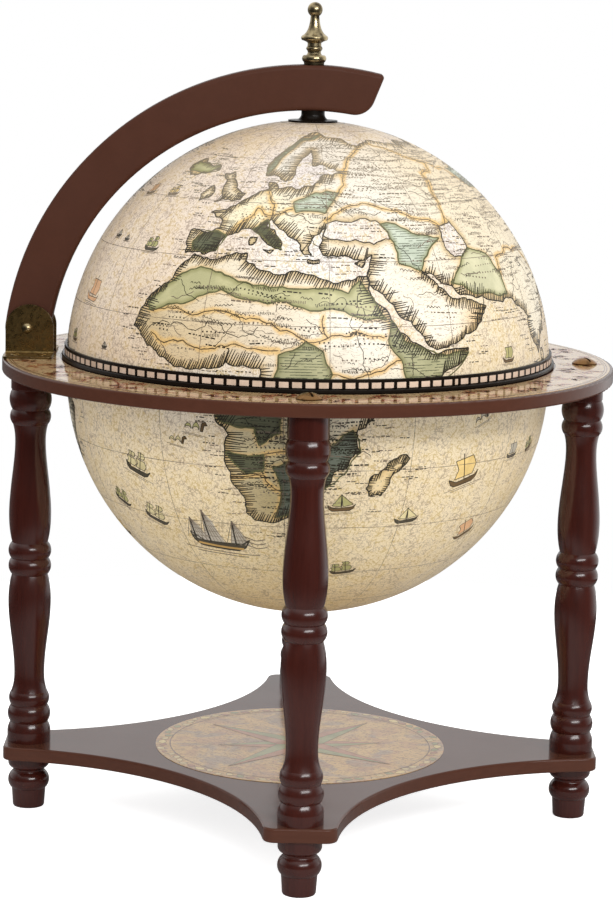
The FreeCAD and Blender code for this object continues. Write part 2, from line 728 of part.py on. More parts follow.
# Lid
def dome_shell(outer_r, inner_r, hole_r, flat_z=None):
    """An upside-down bowl with a hole in its crown, and a flat seat there if asked."""
    shell = ball(outer_r, lid_centre_z).cut(ball(inner_r, lid_centre_z))
    top = lid_centre_z + GLOBE_R + OVERRUN
    if flat_z is not None:
        top = flat_z
    shell = shell.common(post(outer_r + OVERRUN, Vector(), lid_z, top))
    return shell.cut(post(hole_r, Vector(), lid_centre_z, lid_centre_z + GLOBE_R + OVERRUN))


def lid_shell():
    return dome_shell(GLOBE_R, shell_inner_r, COLLAR_NOSE_R + RUN_GAP, lid_seat_z)


def lid_lining():
    return dome_shell(lining_outer_r, lining_inner_r, COLLAR_NOSE_R + SPIN_GAP)


def lid_band():
    band = post(GLOBE_R + BAND_T, Vector(), lid_z, lid_z + BAND_H)
    outer = [edge for edge in band.Edges if edge.BoundBox.ZLength < BAND_H / 2]
    band = band.makeFillet(BAND_EDGE_R, outer)
    return band.cut(ball(GLOBE_R + GLUE_GAP, lid_centre_z))


def lid_inner_ring():
    """A hoop inside the lid's edge that drops into the bowl and centres the lid."""
    outer_r = lining_inner_r - SPIGOT_GAP
    inner_r = outer_r - SPIGOT_T
    low = lid_z - PARTING_GAP - SPIGOT_H
    spigot = post(outer_r, Vector(), low, lid_z + SPIGOT_CHAMFER)
    foot_edges = edges_at(spigot, low)
    spigot = spigot.makeChamfer(SPIGOT_CHAMFER, foot_edges)
    grip = post(GLOBE_R, Vector(), lid_z, lid_z + SPIGOT_GRIP)
    grip = grip.common(ball(lining_inner_r - GLUE_GAP, lid_centre_z))
    hoop = spigot.fuse(grip).removeSplitter()
    return hoop.cut(post(inner_r, Vector(), low - OVERRUN, lid_z + SPIGOT_GRIP + OVERRUN))


def crown_washer():
    return tube(COLLAR_NOSE_R + RUN_GAP, CROWN_WASHER_R, crown_washer_z, crown_washer_top)


def write_parts():
    os.makedirs("parts", exist_ok=True)
    save("shelf_board", shelf_board())
    save("shelf_print", shelf_print())
    for name, place in LEG_PLACES:
        save("foot_" + name, foot(place))
        save("leg_" + name, leg(place))
    save("hanger_bolts", hanger_bolts())
    save("leg_inserts", leg_inserts())
    save("ring_board", ring_board())
    save("ring_print", ring_print())
    save("ring_bolts", ring_bolts())
    save("hinge_leg_bolt", hinge_leg_bolt())
    save("front_hinge_plate", hinge_plate(-1))
    save("rear_hinge_plate", hinge_plate(1))
    save("hinge_screws", hinge_screws())
    save("pivot_pin", pivot_pin())
    save("pivot_washers", pivot_washers())
    save("bowl_shell", cup(GLOBE_R, shell_inner_r))
    save("bowl_lining", cup(lining_outer_r, lining_inner_r))
    save("bowl_rim", bowl_rim())
    save("glass_tray", glass_tray())
    save("tray_floor", tray_floor())
    save("bottle_rest", bottle_rest())
    save("meridian_arm", meridian_arm())
    save("spindle_rod", spindle_rod())
    save("spindle_collar", spindle_collar())
    save("spindle_nut", spindle_nut())
    save("finial", finial())
    save("lid_shell", lid_shell())
    save("lid_lining", lid_lining())
    save("lid_band", lid_band())
    save("lid_inner_ring", lid_inner_ring())
    save("crown_washer", crown_washer())


write_parts()
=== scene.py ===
"""Looks for a globe bar: a globe whose upper half tilts back on an arm, on a four-legged stand."""

import math
import random

import bpy
import numpy as np
from bpy.props import FloatProperty, FloatVectorProperty, IntProperty, PointerProperty
from mathutils import Matrix, Vector
from mathutils.geometry import tessellate_polygon
from mathutils.kdtree import KDTree


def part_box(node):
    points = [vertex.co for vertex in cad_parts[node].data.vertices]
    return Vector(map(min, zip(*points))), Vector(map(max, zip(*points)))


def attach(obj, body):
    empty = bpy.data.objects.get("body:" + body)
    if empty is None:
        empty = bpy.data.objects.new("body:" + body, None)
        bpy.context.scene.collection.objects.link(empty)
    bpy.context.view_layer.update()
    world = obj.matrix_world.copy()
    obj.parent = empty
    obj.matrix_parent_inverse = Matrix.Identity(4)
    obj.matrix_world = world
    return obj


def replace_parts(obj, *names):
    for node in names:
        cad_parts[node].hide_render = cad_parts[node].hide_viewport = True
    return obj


bl_info = {
    "name": "Globe bar",
    "version": (1, 0, 0),
    "blender": (4, 5, 0),
    "location": "View3D > Sidebar > Globe bar",
    "description": "Builds the looks of a globe bar around its packed CAD model",
    "category": "Object",
}

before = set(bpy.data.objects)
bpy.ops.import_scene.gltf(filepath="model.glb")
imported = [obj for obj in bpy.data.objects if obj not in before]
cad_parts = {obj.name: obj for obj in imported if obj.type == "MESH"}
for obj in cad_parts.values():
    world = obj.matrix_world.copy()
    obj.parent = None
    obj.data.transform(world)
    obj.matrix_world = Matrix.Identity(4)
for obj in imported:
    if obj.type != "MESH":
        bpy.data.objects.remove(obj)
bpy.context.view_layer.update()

MM = 0.001
LEG_NAMES = ("front", "right", "back", "left")


def linear(red, green, blue):
    """A colour as a screen shows it, 0 to 255, in Blender's linear values."""
    def channel(value):
        share = value / 255
        return share / 12.92 if share < 0.04045 else ((share + 0.055) / 1.055) ** 2.4
    return channel(red), channel(green), channel(blue)


def number_property(name, description, value, **kind):
    return FloatProperty(name=name, description=description, default=value, **kind)


def length_property(name, description, millimetres):
    return number_property(name, description, millimetres * MM, unit="LENGTH", subtype="DISTANCE", min=0)


def angle_property(name, description, radians):
    return number_property(name, description, radians, subtype="ANGLE")


def place_property(name, description, place):
    return FloatVectorProperty(
        name=name, description=description, subtype="TRANSLATION", unit="LENGTH", default=place)


def colour_property(name, description, *shade):
    return FloatVectorProperty(
        name=name, description=description, subtype="COLOR", size=3, min=0, max=1, default=linear(*shade))


# Settings
class WoodSettings(bpy.types.PropertyGroup):
    board: colour_property("Boards", "Brown lacquer of the ring and the shelf", 82, 49, 37)
    arm: colour_property("Arm", "Brown lacquer of the meridian arm", 78, 46, 34)
    leg: colour_property("Legs", "Mahogany stain of the turned legs and feet", 65, 26, 19)
    leg_dark: colour_property("Leg grain", "Darkest grain of the legs", 44, 14, 10)
    inside: colour_property("Trays", "Brown lacquer of the boards in the bowl", 84, 55, 43)


class MetalSettings(bpy.types.PropertyGroup):
    brass: colour_property("Brass", "Brass where it is rubbed bright", 196, 178, 138)
    patina: colour_property("Patina", "Antique finish in the hollows of the brass", 44, 34, 22)
    plate: colour_property("Plates", "Dark antique brass of the hinge plates", 166, 138, 88)
    bolt: colour_property("Bolts", "Brown antique brass of the domed bolts", 150, 112, 72)
    steel: colour_property("Steel", "Zinc plated bolts and washers", 172, 174, 176)
    nylon: colour_property("Nylon", "White nylon of the pivot washers", 232, 229, 222)
    nylon_cloud: colour_property("Nylon clouds", "Darker clouds in the nylon", 214, 210, 200)


class PaperSettings(bpy.types.PropertyGroup):
    ring: colour_property("Ring", "Parchment of the ring", 208, 180, 136)
    ring_rose: colour_property("Ring shading", "Rosy shading between the scrolls", 200, 150, 118)
    ring_mark: colour_property("Ring engraving", "Fine engraving on the ring", 140, 96, 70)
    shelf: colour_property("Shelf", "Ochre parchment of the shelf's disc", 206, 172, 118)
    shelf_grey: colour_property("Shelf grey", "Grey-brown patches of the shelf's disc", 166, 146, 124)
    shelf_rose: colour_property("Shelf rose", "Rosy patches of the shelf's disc", 182, 140, 108)
    shelf_mark: colour_property("Shelf engraving", "Fine engraving on the shelf's disc", 116, 92, 70)
    lining: colour_property("Linings", "Plain parchment inside the globe", 222, 202, 166)
    bare_edge: length_property("Bare edge", "Edge of a paper that no print reaches", 0.3)
    outer_line: length_property("Outer line", "From the ring paper's edge to its outer line", 2)
    line_gap: length_property("Line gap", "Between the ring's two outer lines", 1.6)
    scrolls: IntProperty(name="Scrolls", description="Scrolls round the ring", min=2, default=34)


class MapSettings(bpy.types.PropertyGroup):
    sea: colour_property("Sea", "Parchment of the seas", 242, 224, 202)
    sea_mark: colour_property("Sea engraving", "How the fine engraving tints the seas", 188, 180, 176)
    sea_mark_warm: colour_property("Warm engraving", "The engraving's second tint", 216, 202, 158)
    land: colour_property("Land", "Bare parchment of the lands", 250, 240, 216)
    coast: colour_property("Coast wash", "Ochre wash along the coasts", 216, 180, 112)
    shore: colour_property("Shore", "Dark wash right behind the coast lines", 120, 112, 84)
    border: colour_property("Borders", "Orange wash along the borders", 234, 192, 116)
    border_ink: colour_property("Border ink", "Thin line along the middle of the borders", 104, 84, 54)
    green_ink: colour_property("Green ink", "Outlines of the green countries", 104, 104, 66)
    green_hatch: colour_property("Green hatching", "Level strokes over the green countries", 70, 78, 58)
    ink: colour_property("Ink", "Brown ink of the coasts and the hatching", 54, 48, 36)
    faint_ink: colour_property("Faint ink", "Ink of the circles and the finest lines", 128, 112, 96)
    globe_radius: length_property("Globe radius", "Outside of the globe", 166)
    shell: length_property("Shell", "Thickness of the globe's shell", 4.5)
    edge_rise: length_property("Lid edge rise", "Lid's edge over the centre of its sphere", 5.7)
    collar_hole: length_property("Collar hole", "Radius of the collar's hole in the lid", 5.55)
    spacing: length_property("Mesh spacing", "Distance between the globe's points", 1.8)
    polar_circle: number_property("Polar circle", "Latitude of the circle round the collar", 82.5)
    bowl_turn: angle_property("Bowl turn", "Turn of the bowl against the lid", math.radians(-10))


class BandSettings(bpy.types.PropertyGroup):
    black: colour_property("Black", "Satin black of the bands and the collar", 24, 18, 13)
    square: colour_property("Square colour", "Cream squares on the lid's band", 226, 202, 182)
    count: IntProperty(name="Squares", description="Whole squares round the band", min=8, default=123)
    width: length_property("Square width", "Width of a cream square", 6.2)
    height: length_property("Square height", "Height of a cream square", 3.7)
    lift: length_property("Square lift", "Lower edge of the squares over the band's lower edge", 0.15)
    layer: length_property("Square layer", "How far the squares' print stands off the band", 0.04)
    seam_width: length_property("Seam square", "Width of the one narrow square, at the seam", 2.4)
    seam: angle_property("Seam", "Where the band's seam lies, from the front", math.radians(34.6))


class StageSettings(bpy.types.PropertyGroup):
    camera_place: place_property("Camera", "Where the camera stands", (-0.0147, -2.0376, 0.5963))
    heading: angle_property("Heading", "Camera's heading, from +Y towards +X", 0.0074)
    tilt: angle_property("Tilt", "How far the camera looks down", 0.1646)
    roll: angle_property("Roll", "Camera's roll", 0.021)
    lens: number_property("Lens", "Focal length in millimetres", 119.1)
    sensor: number_property("Sensor", "Width of the camera's sensor in millimetres", 36.0)
    floor: colour_property("Floor", "Pale studio floor", 244, 244, 244)
    floor_reach: length_property("Floor reach", "Radius of the round floor", 800)
    floor_glow: number_property("Floor glow", "Part of the floor's white that needs no light", 0.78)
    # The fade acts in reflections only: between these radii the reflected floor is painted darker
    fade_from: length_property("Fade from", "Radius where the floor starts to show less shadow", 200)
    fade_to: length_property("Fade to", "Radius where the floor shows almost no shadow", 750)
    sky: number_property("Surround", "Strength of the white surround as a light", 0.8)
    front: number_property("Front reflection", "Brightness of the room that the front reflects", 0.05)
    key: number_property("Key light", "Power of the wide soft lamp, front right", 24.0, unit="POWER")
    key_place: place_property("Key place", "Where the soft lamp hangs", (0.78, -1.80, 1.28))
    key_aim: length_property("Key aim", "Height of the point that the soft lamp faces", 300)
    key_width: length_property("Key width", "Width of the soft lamp", 1600)
    key_height: length_property("Key height", "Height of the soft lamp", 400)


class GlobeBarSettings(bpy.types.PropertyGroup):
    wood: PointerProperty(type=WoodSettings)
    metal: PointerProperty(type=MetalSettings)
    paper: PointerProperty(type=PaperSettings)
    map: PointerProperty(type=MapSettings)
    band: PointerProperty(type=BandSettings)
    stage: PointerProperty(type=StageSettings)


def settings():
    return bpy.context.scene.globe_bar


def dimmed(shade, factor):
    return tuple(channel * factor for channel in shade)


def rgba(shade):
    return (*shade, 1)


# Node helpers
class Net:
    """Adds and joins the nodes of one material or group."""

    def __init__(self, tree):
        self.tree = tree

    def put(self, socket, value):
        """Joins an output to a socket, or sets the socket's own value."""
        if isinstance(value, bpy.types.NodeSocket):
            self.tree.links.new(value, socket)
        elif value is not None:
            socket.default_value = value

    def add(self, kind, inputs=None, **values):
        """A new node. Its inputs are given by name or by number."""
        node = self.tree.nodes.new(kind)
        for name, value in values.items():
            setattr(node, name, value)
        for name, value in (inputs or {}).items():
            self.put(node.inputs[name], value)
        return node

    def math(self, operation, first, second=None):
        return self.add("ShaderNodeMath", {0: first, 1: second}, operation=operation).outputs[0]

    def times(self, first, second):
        return self.math("MULTIPLY", first, second)

    def plus(self, first, second):
        return self.math("ADD", first, second)

    def mix(self, share, first, second, blend="MIX"):
        inputs = {0: share, 6: first, 7: second}
        return self.add("ShaderNodeMix", inputs, data_type="RGBA", blend_type=blend).outputs[2]

    def tinted(self, colour, tint):
        return self.mix(1.0, colour, tint, "MULTIPLY")

    def step(self, value, low, high, to_low=0.0, to_high=1.0):
        """A smooth step of a value from one level to another."""
        inputs = {"Value": value, "From Min": low, "From Max": high, "To Min": to_low, "To Max": to_high}
        return self.add("ShaderNodeMapRange", inputs, interpolation_type="SMOOTHSTEP").outputs["Result"]

    def noise(self, place, scale, detail=3.0, roughness=0.5, distortion=0.0):
        inputs = {"Vector": place, "Scale": scale, "Detail": detail, "Roughness": roughness,
                  "Distortion": distortion}
        return self.add("ShaderNodeTexNoise", inputs).outputs["Fac"]

    def place(self, stretch=(1, 1, 1)):
        """The piece's own coordinates, stretched."""
        coordinates = self.add("ShaderNodeTexCoord").outputs["Object"]
        return self.add("ShaderNodeMapping", {"Vector": coordinates, "Scale": stretch}).outputs["Vector"]

    def attribute(self, name, output="Fac"):
        return self.add("ShaderNodeAttribute", attribute_name=name).outputs[output]

    def bump(self, height, distance, strength, normal=None):
        inputs = {"Height": height, "Distance": distance, "Strength": strength, "Normal": normal}
        return self.add("ShaderNodeBump", inputs).outputs["Normal"]

    def use(self, effect, **inputs):
        """The outputs of a shared effect, whose group is built once."""
        group = bpy.data.node_groups.get(effect) or new_group(effect, *EFFECTS[effect])
        return self.add("ShaderNodeGroup", inputs, node_tree=group).outputs


def new_group(name, fill, colours, numbers, outputs):
    """A shader node group that takes a place, colours and numbers, filled by a function."""
    group = bpy.data.node_groups.new(name, "ShaderNodeTree")
    group.interface.new_socket("Place", in_out="INPUT", socket_type="NodeSocketVector")
    for colour in colours:
        group.interface.new_socket(colour, in_out="INPUT", socket_type="NodeSocketColor")
    for number, value in numbers.items():
        socket = group.interface.new_socket(number, in_out="INPUT", socket_type="NodeSocketFloat")
        socket.default_value = value
    for output in outputs:
        kind = "NodeSocketColor" if output == "Colour" else "NodeSocketFloat"
        group.interface.new_socket(output, in_out="OUTPUT", socket_type=kind)
    net = Net(group)
    fill(net, net.add("NodeGroupInput").outputs, net.add("NodeGroupOutput").inputs)
    return group


def new_material(name, **inputs):
    """A material with one Principled BSDF, its net and that shader's inputs."""
    material = bpy.data.materials.new(name)
    material.use_nodes = True
    shader = material.node_tree.nodes["Principled BSDF"].inputs
    for socket, value in inputs.items():
        shader[socket.replace("_", " ")].default_value = value
    return material, Net(material.node_tree), shader


# Shared effects. Each fills a group: ends are what it takes, and out is what it gives.
FOXED = linear(176, 140, 100)


def wood_grain(net, ends, out):
    """Streaks along the stretched place, with a finer figure over them."""
    broad = net.noise(ends["Place"], ends["Scale"], 4, 0.6, 0.4)
    fine = net.noise(ends["Place"], net.times(ends["Scale"], 5.5), 3, 0.7)
    figure = net.plus(net.times(broad, 0.65), net.times(fine, 0.35))
    share = net.times(net.step(figure, 0.66, 0.36), ends["Depth"])
    net.put(out["Colour"], net.mix(share, ends["Light"], ends["Dark"]))
    net.put(out["Height"], figure)


def unevenness(net, ends, out):
    """A slow and a fine unevenness, for roughness and for a lacquer's ripples."""
    slow = net.noise(ends["Place"], ends["Scale"])
    fine = net.noise(ends["Place"], net.times(ends["Scale"], 14), 2, 0.6)
    both = net.plus(net.times(slow, 0.7), net.times(fine, 0.3))
    net.put(out["Value"], net.step(both, 0.3, 0.7, ends["Low"], ends["High"]))
    net.put(out["Height"], both)


def parchment(net, ends, out):
    """Aged paper: soft mottling round a tone, with a few darker foxed spots."""
    clouds = net.step(net.noise(ends["Place"], ends["Scale"], 5, 0.6), 0.32, 0.68)
    darker = net.tinted(ends["Tone"], rgba((0.80, 0.72, 0.60)))
    base = net.mix(net.times(clouds, ends["Mottle"]), ends["Tone"], darker)
    spots = net.step(net.noise(ends["Place"], net.times(ends["Scale"], 9), 3, 0.6), 0.6, 0.78)
    net.put(out["Colour"], net.mix(net.times(spots, ends["Spots"]), base, rgba(FOXED)))


def engraving(net, ends, out):
    """Short bent engraved lines: where a noise crosses its middle, broken by a second noise."""
    field = net.noise(ends["Place"], ends["Scale"], 1)
    off_middle = net.math("ABSOLUTE", net.math("SUBTRACT", field, 0.5))
    lines = net.step(off_middle, ends["Width"], net.times(ends["Width"], 0.4))
    broken = net.step(net.noise(ends["Place"], net.times(ends["Scale"], 1.1), 1), 0.34, 0.44)
    net.put(out["Mask"], net.times(net.times(lines, broken), ends["Cover"]))


def patina(net, ends, out):
    """Antique brass: bright where it is rubbed and dark in the hollows."""
    cloud = net.noise(ends["Place"], ends["Scale"], 5, 0.62, 0.3)
    edge = net.math("SUBTRACT", 1.0, ends["Rubbed"])
    share = net.step(cloud, net.times(edge, 0.7), net.plus(edge, 0.2))
    open_air = net.add("ShaderNodeAmbientOcclusion", {"Distance": ends["Reach"]}, samples=8).outputs["AO"]
    share = net.times(share, net.step(open_air, 0.45, 0.95))
    net.put(out["Colour"], net.mix(share, ends["Dark"], ends["Bright"]))
    net.put(out["Roughness"], net.step(share, 0.0, 1.0, 0.48, 0.26))
    net.put(out["Height"], cloud)


def edge_wear_and_highlight(net, ends, out):
    """A mask of the outer edges, where a finish is rubbed off and where a painted highlight runs along
    them.
    """
    rounded = net.add("ShaderNodeBevel", {"Radius": ends["Radius"]}, samples=6).outputs["Normal"]
    normals = {0: rounded, 1: net.add("ShaderNodeNewGeometry").outputs["Normal"]}
    turn = net.add("ShaderNodeVectorMath", normals, operation="DOT_PRODUCT").outputs["Value"]
    broken = net.step(net.noise(ends["Place"], ends["Scale"], 3, 0.6), 0.35, 0.6)
    net.put(out["Mask"], net.times(net.step(turn, 0.99, 0.86), broken))


# What fills each effect, the colours and numbers that it takes, and what it gives
EFFECTS = {
    "wood grain": (wood_grain, ("Light", "Dark"), {"Scale": 60.0, "Depth": 1.0}, ("Colour", "Height")),
    "unevenness": (unevenness, (), {"Scale": 30.0, "Low": 0.2, "High": 0.4}, ("Value", "Height")),
    "parchment": (parchment, ("Tone",), {"Scale": 18.0, "Mottle": 0.5, "Spots": 0.3}, ("Colour",)),
    "engraving": (engraving, (), {"Scale": 420.0, "Width": 0.035, "Cover": 0.5}, ("Mask",)),
    "patina": (patina, ("Bright", "Dark"), {"Scale": 90.0, "Rubbed": 0.5, "Reach": 0.003},
               ("Colour", "Roughness", "Height")),
    "edge wear and highlight": (edge_wear_and_highlight, (), {"Radius": 0.001, "Scale": 300.0}, ("Mask",)),
}


# Materials
def uneven_gloss(net, shader, place, scale, low, high):
    """Gives a shader a roughness between two values. Returns the unevenness as a height."""
    even = net.use("unevenness", Place=place, Scale=scale, Low=low, High=high)
    net.put(shader["Roughness"], even["Value"])
    return even["Height"]


def plain_finish(name, cloud, shade, scale, low, high, ripples=0.0, **inputs):
    """One colour with soft clouds of another, and an uneven gloss."""
    material, net, shader = new_material(name, **inputs)
    height = uneven_gloss(net, shader, net.place(), scale, low, high)
    net.put(shader["Base Color"], net.mix(height, rgba(cloud), rgba(shade)))
    if ripples:
        net.put(shader["Normal"], net.bump(height, 0.1 * MM, ripples))
    return material


def lacquered_wood(name, shade, dark, stretch, scale, depth, low, high, specular):
    """Wood with streaks along its least stretched axis, and a roughness from low to high."""
    material, net, shader = new_material(name, Specular_IOR_Level=specular)
    grain = net.use("wood grain", Place=net.place(stretch), Light=rgba(shade), Dark=rgba(dark),
                    Scale=scale, Depth=depth)
    net.put(shader["Base Color"], grain["Colour"])
    ripples = net.bump(uneven_gloss(net, shader, net.place(), 24.0, low, high), 0.12 * MM, 0.35)
    net.put(shader["Normal"], net.bump(grain["Height"], 0.05 * MM, 0.5, ripples))
    return material


def antique_brass(name, bright, dark, rubbed, scale, reach, worn_and_lit_edges=False):
    """Brass with a patina that reaches so far into the hollows, and bright edges that are partly worn
    brass and partly a painted highlight.
    """
    material, net, shader = new_material(name, Metallic=1.0)
    place = net.place()
    finish = net.use("patina", Place=place, Bright=rgba(bright), Dark=rgba(dark),
                     Scale=scale, Rubbed=rubbed, Reach=reach)
    colour = finish["Colour"]
    if worn_and_lit_edges:
        # The bright edges are partly rubbed brass and partly a painted highlight along the outer edges
        edge = net.use("edge wear and highlight", Place=place, Radius=0.9 * MM)
        colour = net.mix(edge["Mask"], colour, rgba(settings().metal.brass))
    net.put(shader["Base Color"], colour)
    net.put(shader["Roughness"], finish["Roughness"])
    net.put(shader["Normal"], net.bump(finish["Height"], 0.15 * MM, 0.4))
    return material


def plain_paper(name, tone):
    material, net, shader = new_material(name, Roughness=0.55)
    paper = net.use("parchment", Place=net.place(), Tone=rgba(tone))
    marks = net.use("engraving", Place=net.place(), Scale=300.0, Cover=0.25)
    net.put(shader["Base Color"], net.mix(marks["Mask"], paper["Colour"], rgba(settings().map.faint_ink)))
    net.put(shader["Normal"], net.bump(marks["Mask"], 0.04 * MM, 0.3))
    return material


def printed_tint(name, low=0.34, high=0.46, specular=0.35):
    """Printed ink and washes, coloured by the piece's own tints and a little uneven."""
    material, net, shader = new_material(name, Specular_IOR_Level=specular)
    height = uneven_gloss(net, shader, net.place(), 90.0, low, high)
    tint = net.attribute("tint", "Color")
    faded = net.tinted(tint, rgba((0.78, 0.76, 0.72)))
    net.put(shader["Base Color"], net.mix(net.step(height, 0.35, 0.65), tint, faded))
    return material


def map_surface(name):
    """The printed map. Its points carry tints, and how deep they lie in lands and green countries."""
    tones = settings().map
    material, net, shader = new_material(name, Specular_IOR_Level=0.4)
    place = net.place()
    wobble = net.times(net.math("SUBTRACT", net.noise(place, 70.0, 2), 0.5), 5.0)

    sea = net.use("parchment", Place=place, Tone=net.attribute("sea_tint", "Color"),
                  Scale=16.0, Mottle=0.2, Spots=0.1)["Colour"]
    worms = net.use("engraving", Place=place, Scale=290.0, Width=0.055, Cover=0.8)
    dots = net.use("engraving", Place=net.place((1.7, 1.7, 1.2)), Scale=420.0, Width=0.06, Cover=0.6)
    patches = net.step(net.noise(place, 110.0, 3, 0.6), 0.44, 0.56)
    hue = net.mix(patches, rgba(tones.sea_mark), rgba(tones.sea_mark_warm))
    sea = net.mix(net.math("MAXIMUM", worms["Mask"], dots["Mask"]), sea, net.tinted(sea, hue))

    # The washes lie along coasts and borders, between two depths in millimetres
    inland = net.attribute("inland")
    land = net.use("parchment", Place=place, Tone=net.attribute("land_tint", "Color"),
                   Scale=24.0, Mottle=0.3, Spots=0.12)["Colour"]
    land = net.mix(net.step(net.plus(inland, wobble), 7.0, 0.5, 0.0, 0.62), land, rgba(tones.coast))
    border = net.plus(net.attribute("border"), net.times(wobble, 0.7))
    land = net.mix(net.step(border, 3.2, 0.6, 0.0, 0.8), land, rgba(tones.border))
    strokes = net.use("engraving", Place=net.place((1, 1, 2.6)), Scale=230.0, Width=0.03, Cover=0.6)
    land = net.mix(strokes["Mask"], land, rgba(tones.faint_ink))

    depth = net.plus(net.attribute("green"), net.times(wobble, 0.25))
    land = net.mix(net.step(depth, -3.5, -0.5, 0.0, 0.6), land, rgba(tones.coast))
    wash = net.attribute("green_tint", "Color")
    clouds = net.step(net.noise(place, 55.0, 4, 0.6), 0.38, 0.62)
    cloudy = net.mix(clouds, wash, net.tinted(wash, rgba((0.80, 0.82, 0.80))))
    edge = net.tinted(wash, rgba((0.52, 0.54, 0.42)))
    green = net.mix(net.step(depth, 4.2, 0.4, 0.0, 0.95), cloudy, edge)
    land = net.mix(net.step(depth, -0.5, 0.5, 0.0, 0.92), land, green)

    land = net.mix(net.step(inland, 3.0, 0.3, 0.0, 0.30), land, rgba(tones.shore))
    net.put(shader["Base Color"], net.mix(net.step(inland, -0.3, 0.3), sea, land))
    height = uneven_gloss(net, shader, place, 16.0, 0.34, 0.46)
    net.put(shader["Normal"], net.bump(height, 0.2 * MM, 0.25))
    return material


def printed_ring(name):
    """The ring's paper: parchment with a faint rosy shading between the scrolls."""
    tones = settings().paper
    material, net, shader = new_material(name, Specular_IOR_Level=1.0, IOR=1.62)
    place = net.place()
    paper = net.use("parchment", Place=place, Tone=rgba(tones.ring), Scale=30.0, Mottle=0.5, Spots=0.25)
    shading = net.step(net.noise(place, 60.0, 4, 0.62, 1.2), 0.5, 0.62, 0.0, 0.5)
    colour = net.mix(shading, paper["Colour"], rgba(tones.ring_rose))
    marks = net.use("engraving", Place=place, Scale=260.0, Width=0.05, Cover=0.7)
    net.put(shader["Base Color"], net.mix(marks["Mask"], colour, rgba(tones.ring_mark)))
    uneven_gloss(net, shader, place, 20.0, 0.07, 0.13)
    return material


def printed_shelf(name):
    """The shelf's round paper: ochre parchment with grey-brown and rosy patches."""
    tones = settings().paper
    material, net, shader = new_material(name, Specular_IOR_Level=0.4)
    place = net.place()
    grey = net.step(net.noise(place, 34.0, 4, 0.6, 0.8), 0.45, 0.6)
    rosy = net.step(net.noise(place, 60.0, 3, 0.6, 0.6), 0.48, 0.6, 0.0, 0.6)
    patches = net.mix(grey, rgba(tones.shelf), rgba(tones.shelf_grey))
    patches = net.mix(rosy, patches, rgba(tones.shelf_rose))
    paper = net.use("parchment", Place=place, Tone=patches, Scale=50.0, Mottle=0.5, Spots=0.3)
    marks = net.use("engraving", Place=net.place((1, 2, 1)), Scale=240.0, Width=0.06, Cover=0.6)
    net.put(shader["Base Color"], net.mix(marks["Mask"], paper["Colour"], rgba(tones.shelf_mark)))
    uneven_gloss(net, shader, place, 20.0, 0.1, 0.18)
    return material


def dress(names, material):
    """Gives CAD nodes a material."""
    for name in names:
        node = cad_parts[name]
        if node.material_slots:
            for slot in node.material_slots:
                slot.material = material
        else:
            node.data.materials.append(material)


# The map. Longitude is counted east of the front of the lid, in degrees, and latitude as printed.
AFRICA = (
    (-32, 31), (-29, 30), (-25, 30), (-20, 32), (-17, 32), (-17, 30), (-13, 28), (-8, 27), (-5, 28),
    (1, 27), (4, 26), (10, 26), (14, 27), (14, 24), (17, 20), (19, 17), (21, 14), (26, 11), (30, 9),
    (35, 10), (39, 10), (38, 8), (35, 6), (31, 4), (27, 0), (24, -3), (21, -5), (21, -8), (22, -10),
    (19, -14), (16, -15), (14, -19), (11, -23), (5, -27), (-3, -28), (-5, -26), (-5, -22), (-8, -18),
    (-9, -14), (-9, -10), (-8, -7), (-11, -4), (-12, 0), (-11, 4), (-11, 6), (-19, 7), (-26, 5), (-31, 5),
    (-37, 8), (-42, 11), (-45, 13), (-44, 16), (-42, 20), (-37, 24), (-36, 26), (-34, 29),
)
EURASIA = (
    (14, 27), (15, 30), (16, 32), (12, 31), (8, 32), (3, 32), (2, 34), (3, 37), (4, 39), (0, 36),
    (-1, 34), (0, 32), (-2, 32), (-5, 36), (-8, 38), (-12, 41), (-13, 39), (-9, 36), (-8, 33), (-11, 34),
    (-14, 36), (-17, 38), (-21, 37), (-24, 36), (-26, 32), (-29, 31), (-35, 31), (-36, 34), (-36, 37),
    (-29, 37), (-27, 38), (-27, 40), (-32, 42), (-27, 43), (-24, 45), (-18, 49), (-15, 50), (-16, 52),
    (-14, 52), (-12, 50), (-6, 50), (0, 51), (4, 55), (11, 56), (6, 58), (0, 58), (0, 61), (-1, 65),
    (-5, 61), (-7, 57), (-8, 53), (-12, 53), (-18, 54), (-19, 57), (-15, 64), (-8, 71), (6, 74), (21, 70),
    (27, 67), (34, 69), (50, 68), (70, 69), (92, 73), (110, 71), (130, 68), (160, 66), (178, 63),
    (168, 58), (152, 58), (146, 50), (142, 56), (128, 54), (124, 46), (116, 42), (117, 33), (110, 35),
    (104, 35), (111, 30), (109, 23), (99, 19), (96, 14), (97, 9), (90, 11), (92, 3), (88, 8), (87, 14),
    (82, 19), (78, 14), (71, 9), (69, 6), (66, 9), (65, 15), (60, 18), (58, 20), (50, 20), (44, 21),
    (39, 22), (34, 25), (29, 28), (33, 24), (38, 21), (44, 20), (47, 19), (45, 17), (43, 15), (34, 11),
    (30, 10), (26, 14), (21, 18), (18, 22),
)
MADAGASCAR = ((33, -11), (34, -12), (30, -16), (28, -21), (25, -21), (24, -19), (25, -16), (30, -12))
BRITAIN = (
    (-33, 45), (-30, 46), (-32, 48), (-33, 52), (-36, 54), (-32, 55), (-28, 51), (-23, 48), (-24, 46),
    (-28, 46),
)
IRELAND = ((-39, 45), (-40, 47), (-37, 50), (-35, 48), (-36, 46))
ICELAND = ((-56, 54), (-59, 56), (-57, 58), (-48, 57), (-42, 57), (-40, 55), (-44, 54))
SICILY = ((-13, 33), (-10, 33), (-11, 32))
SARDINIA = ((-17, 36), (-15, 36), (-16, 34), (-17, 34))
CRETE = ((-1, 31), (2, 31), (2, 30), (-1, 30))
CYPRUS = ((11, 30), (14, 31), (13, 29))
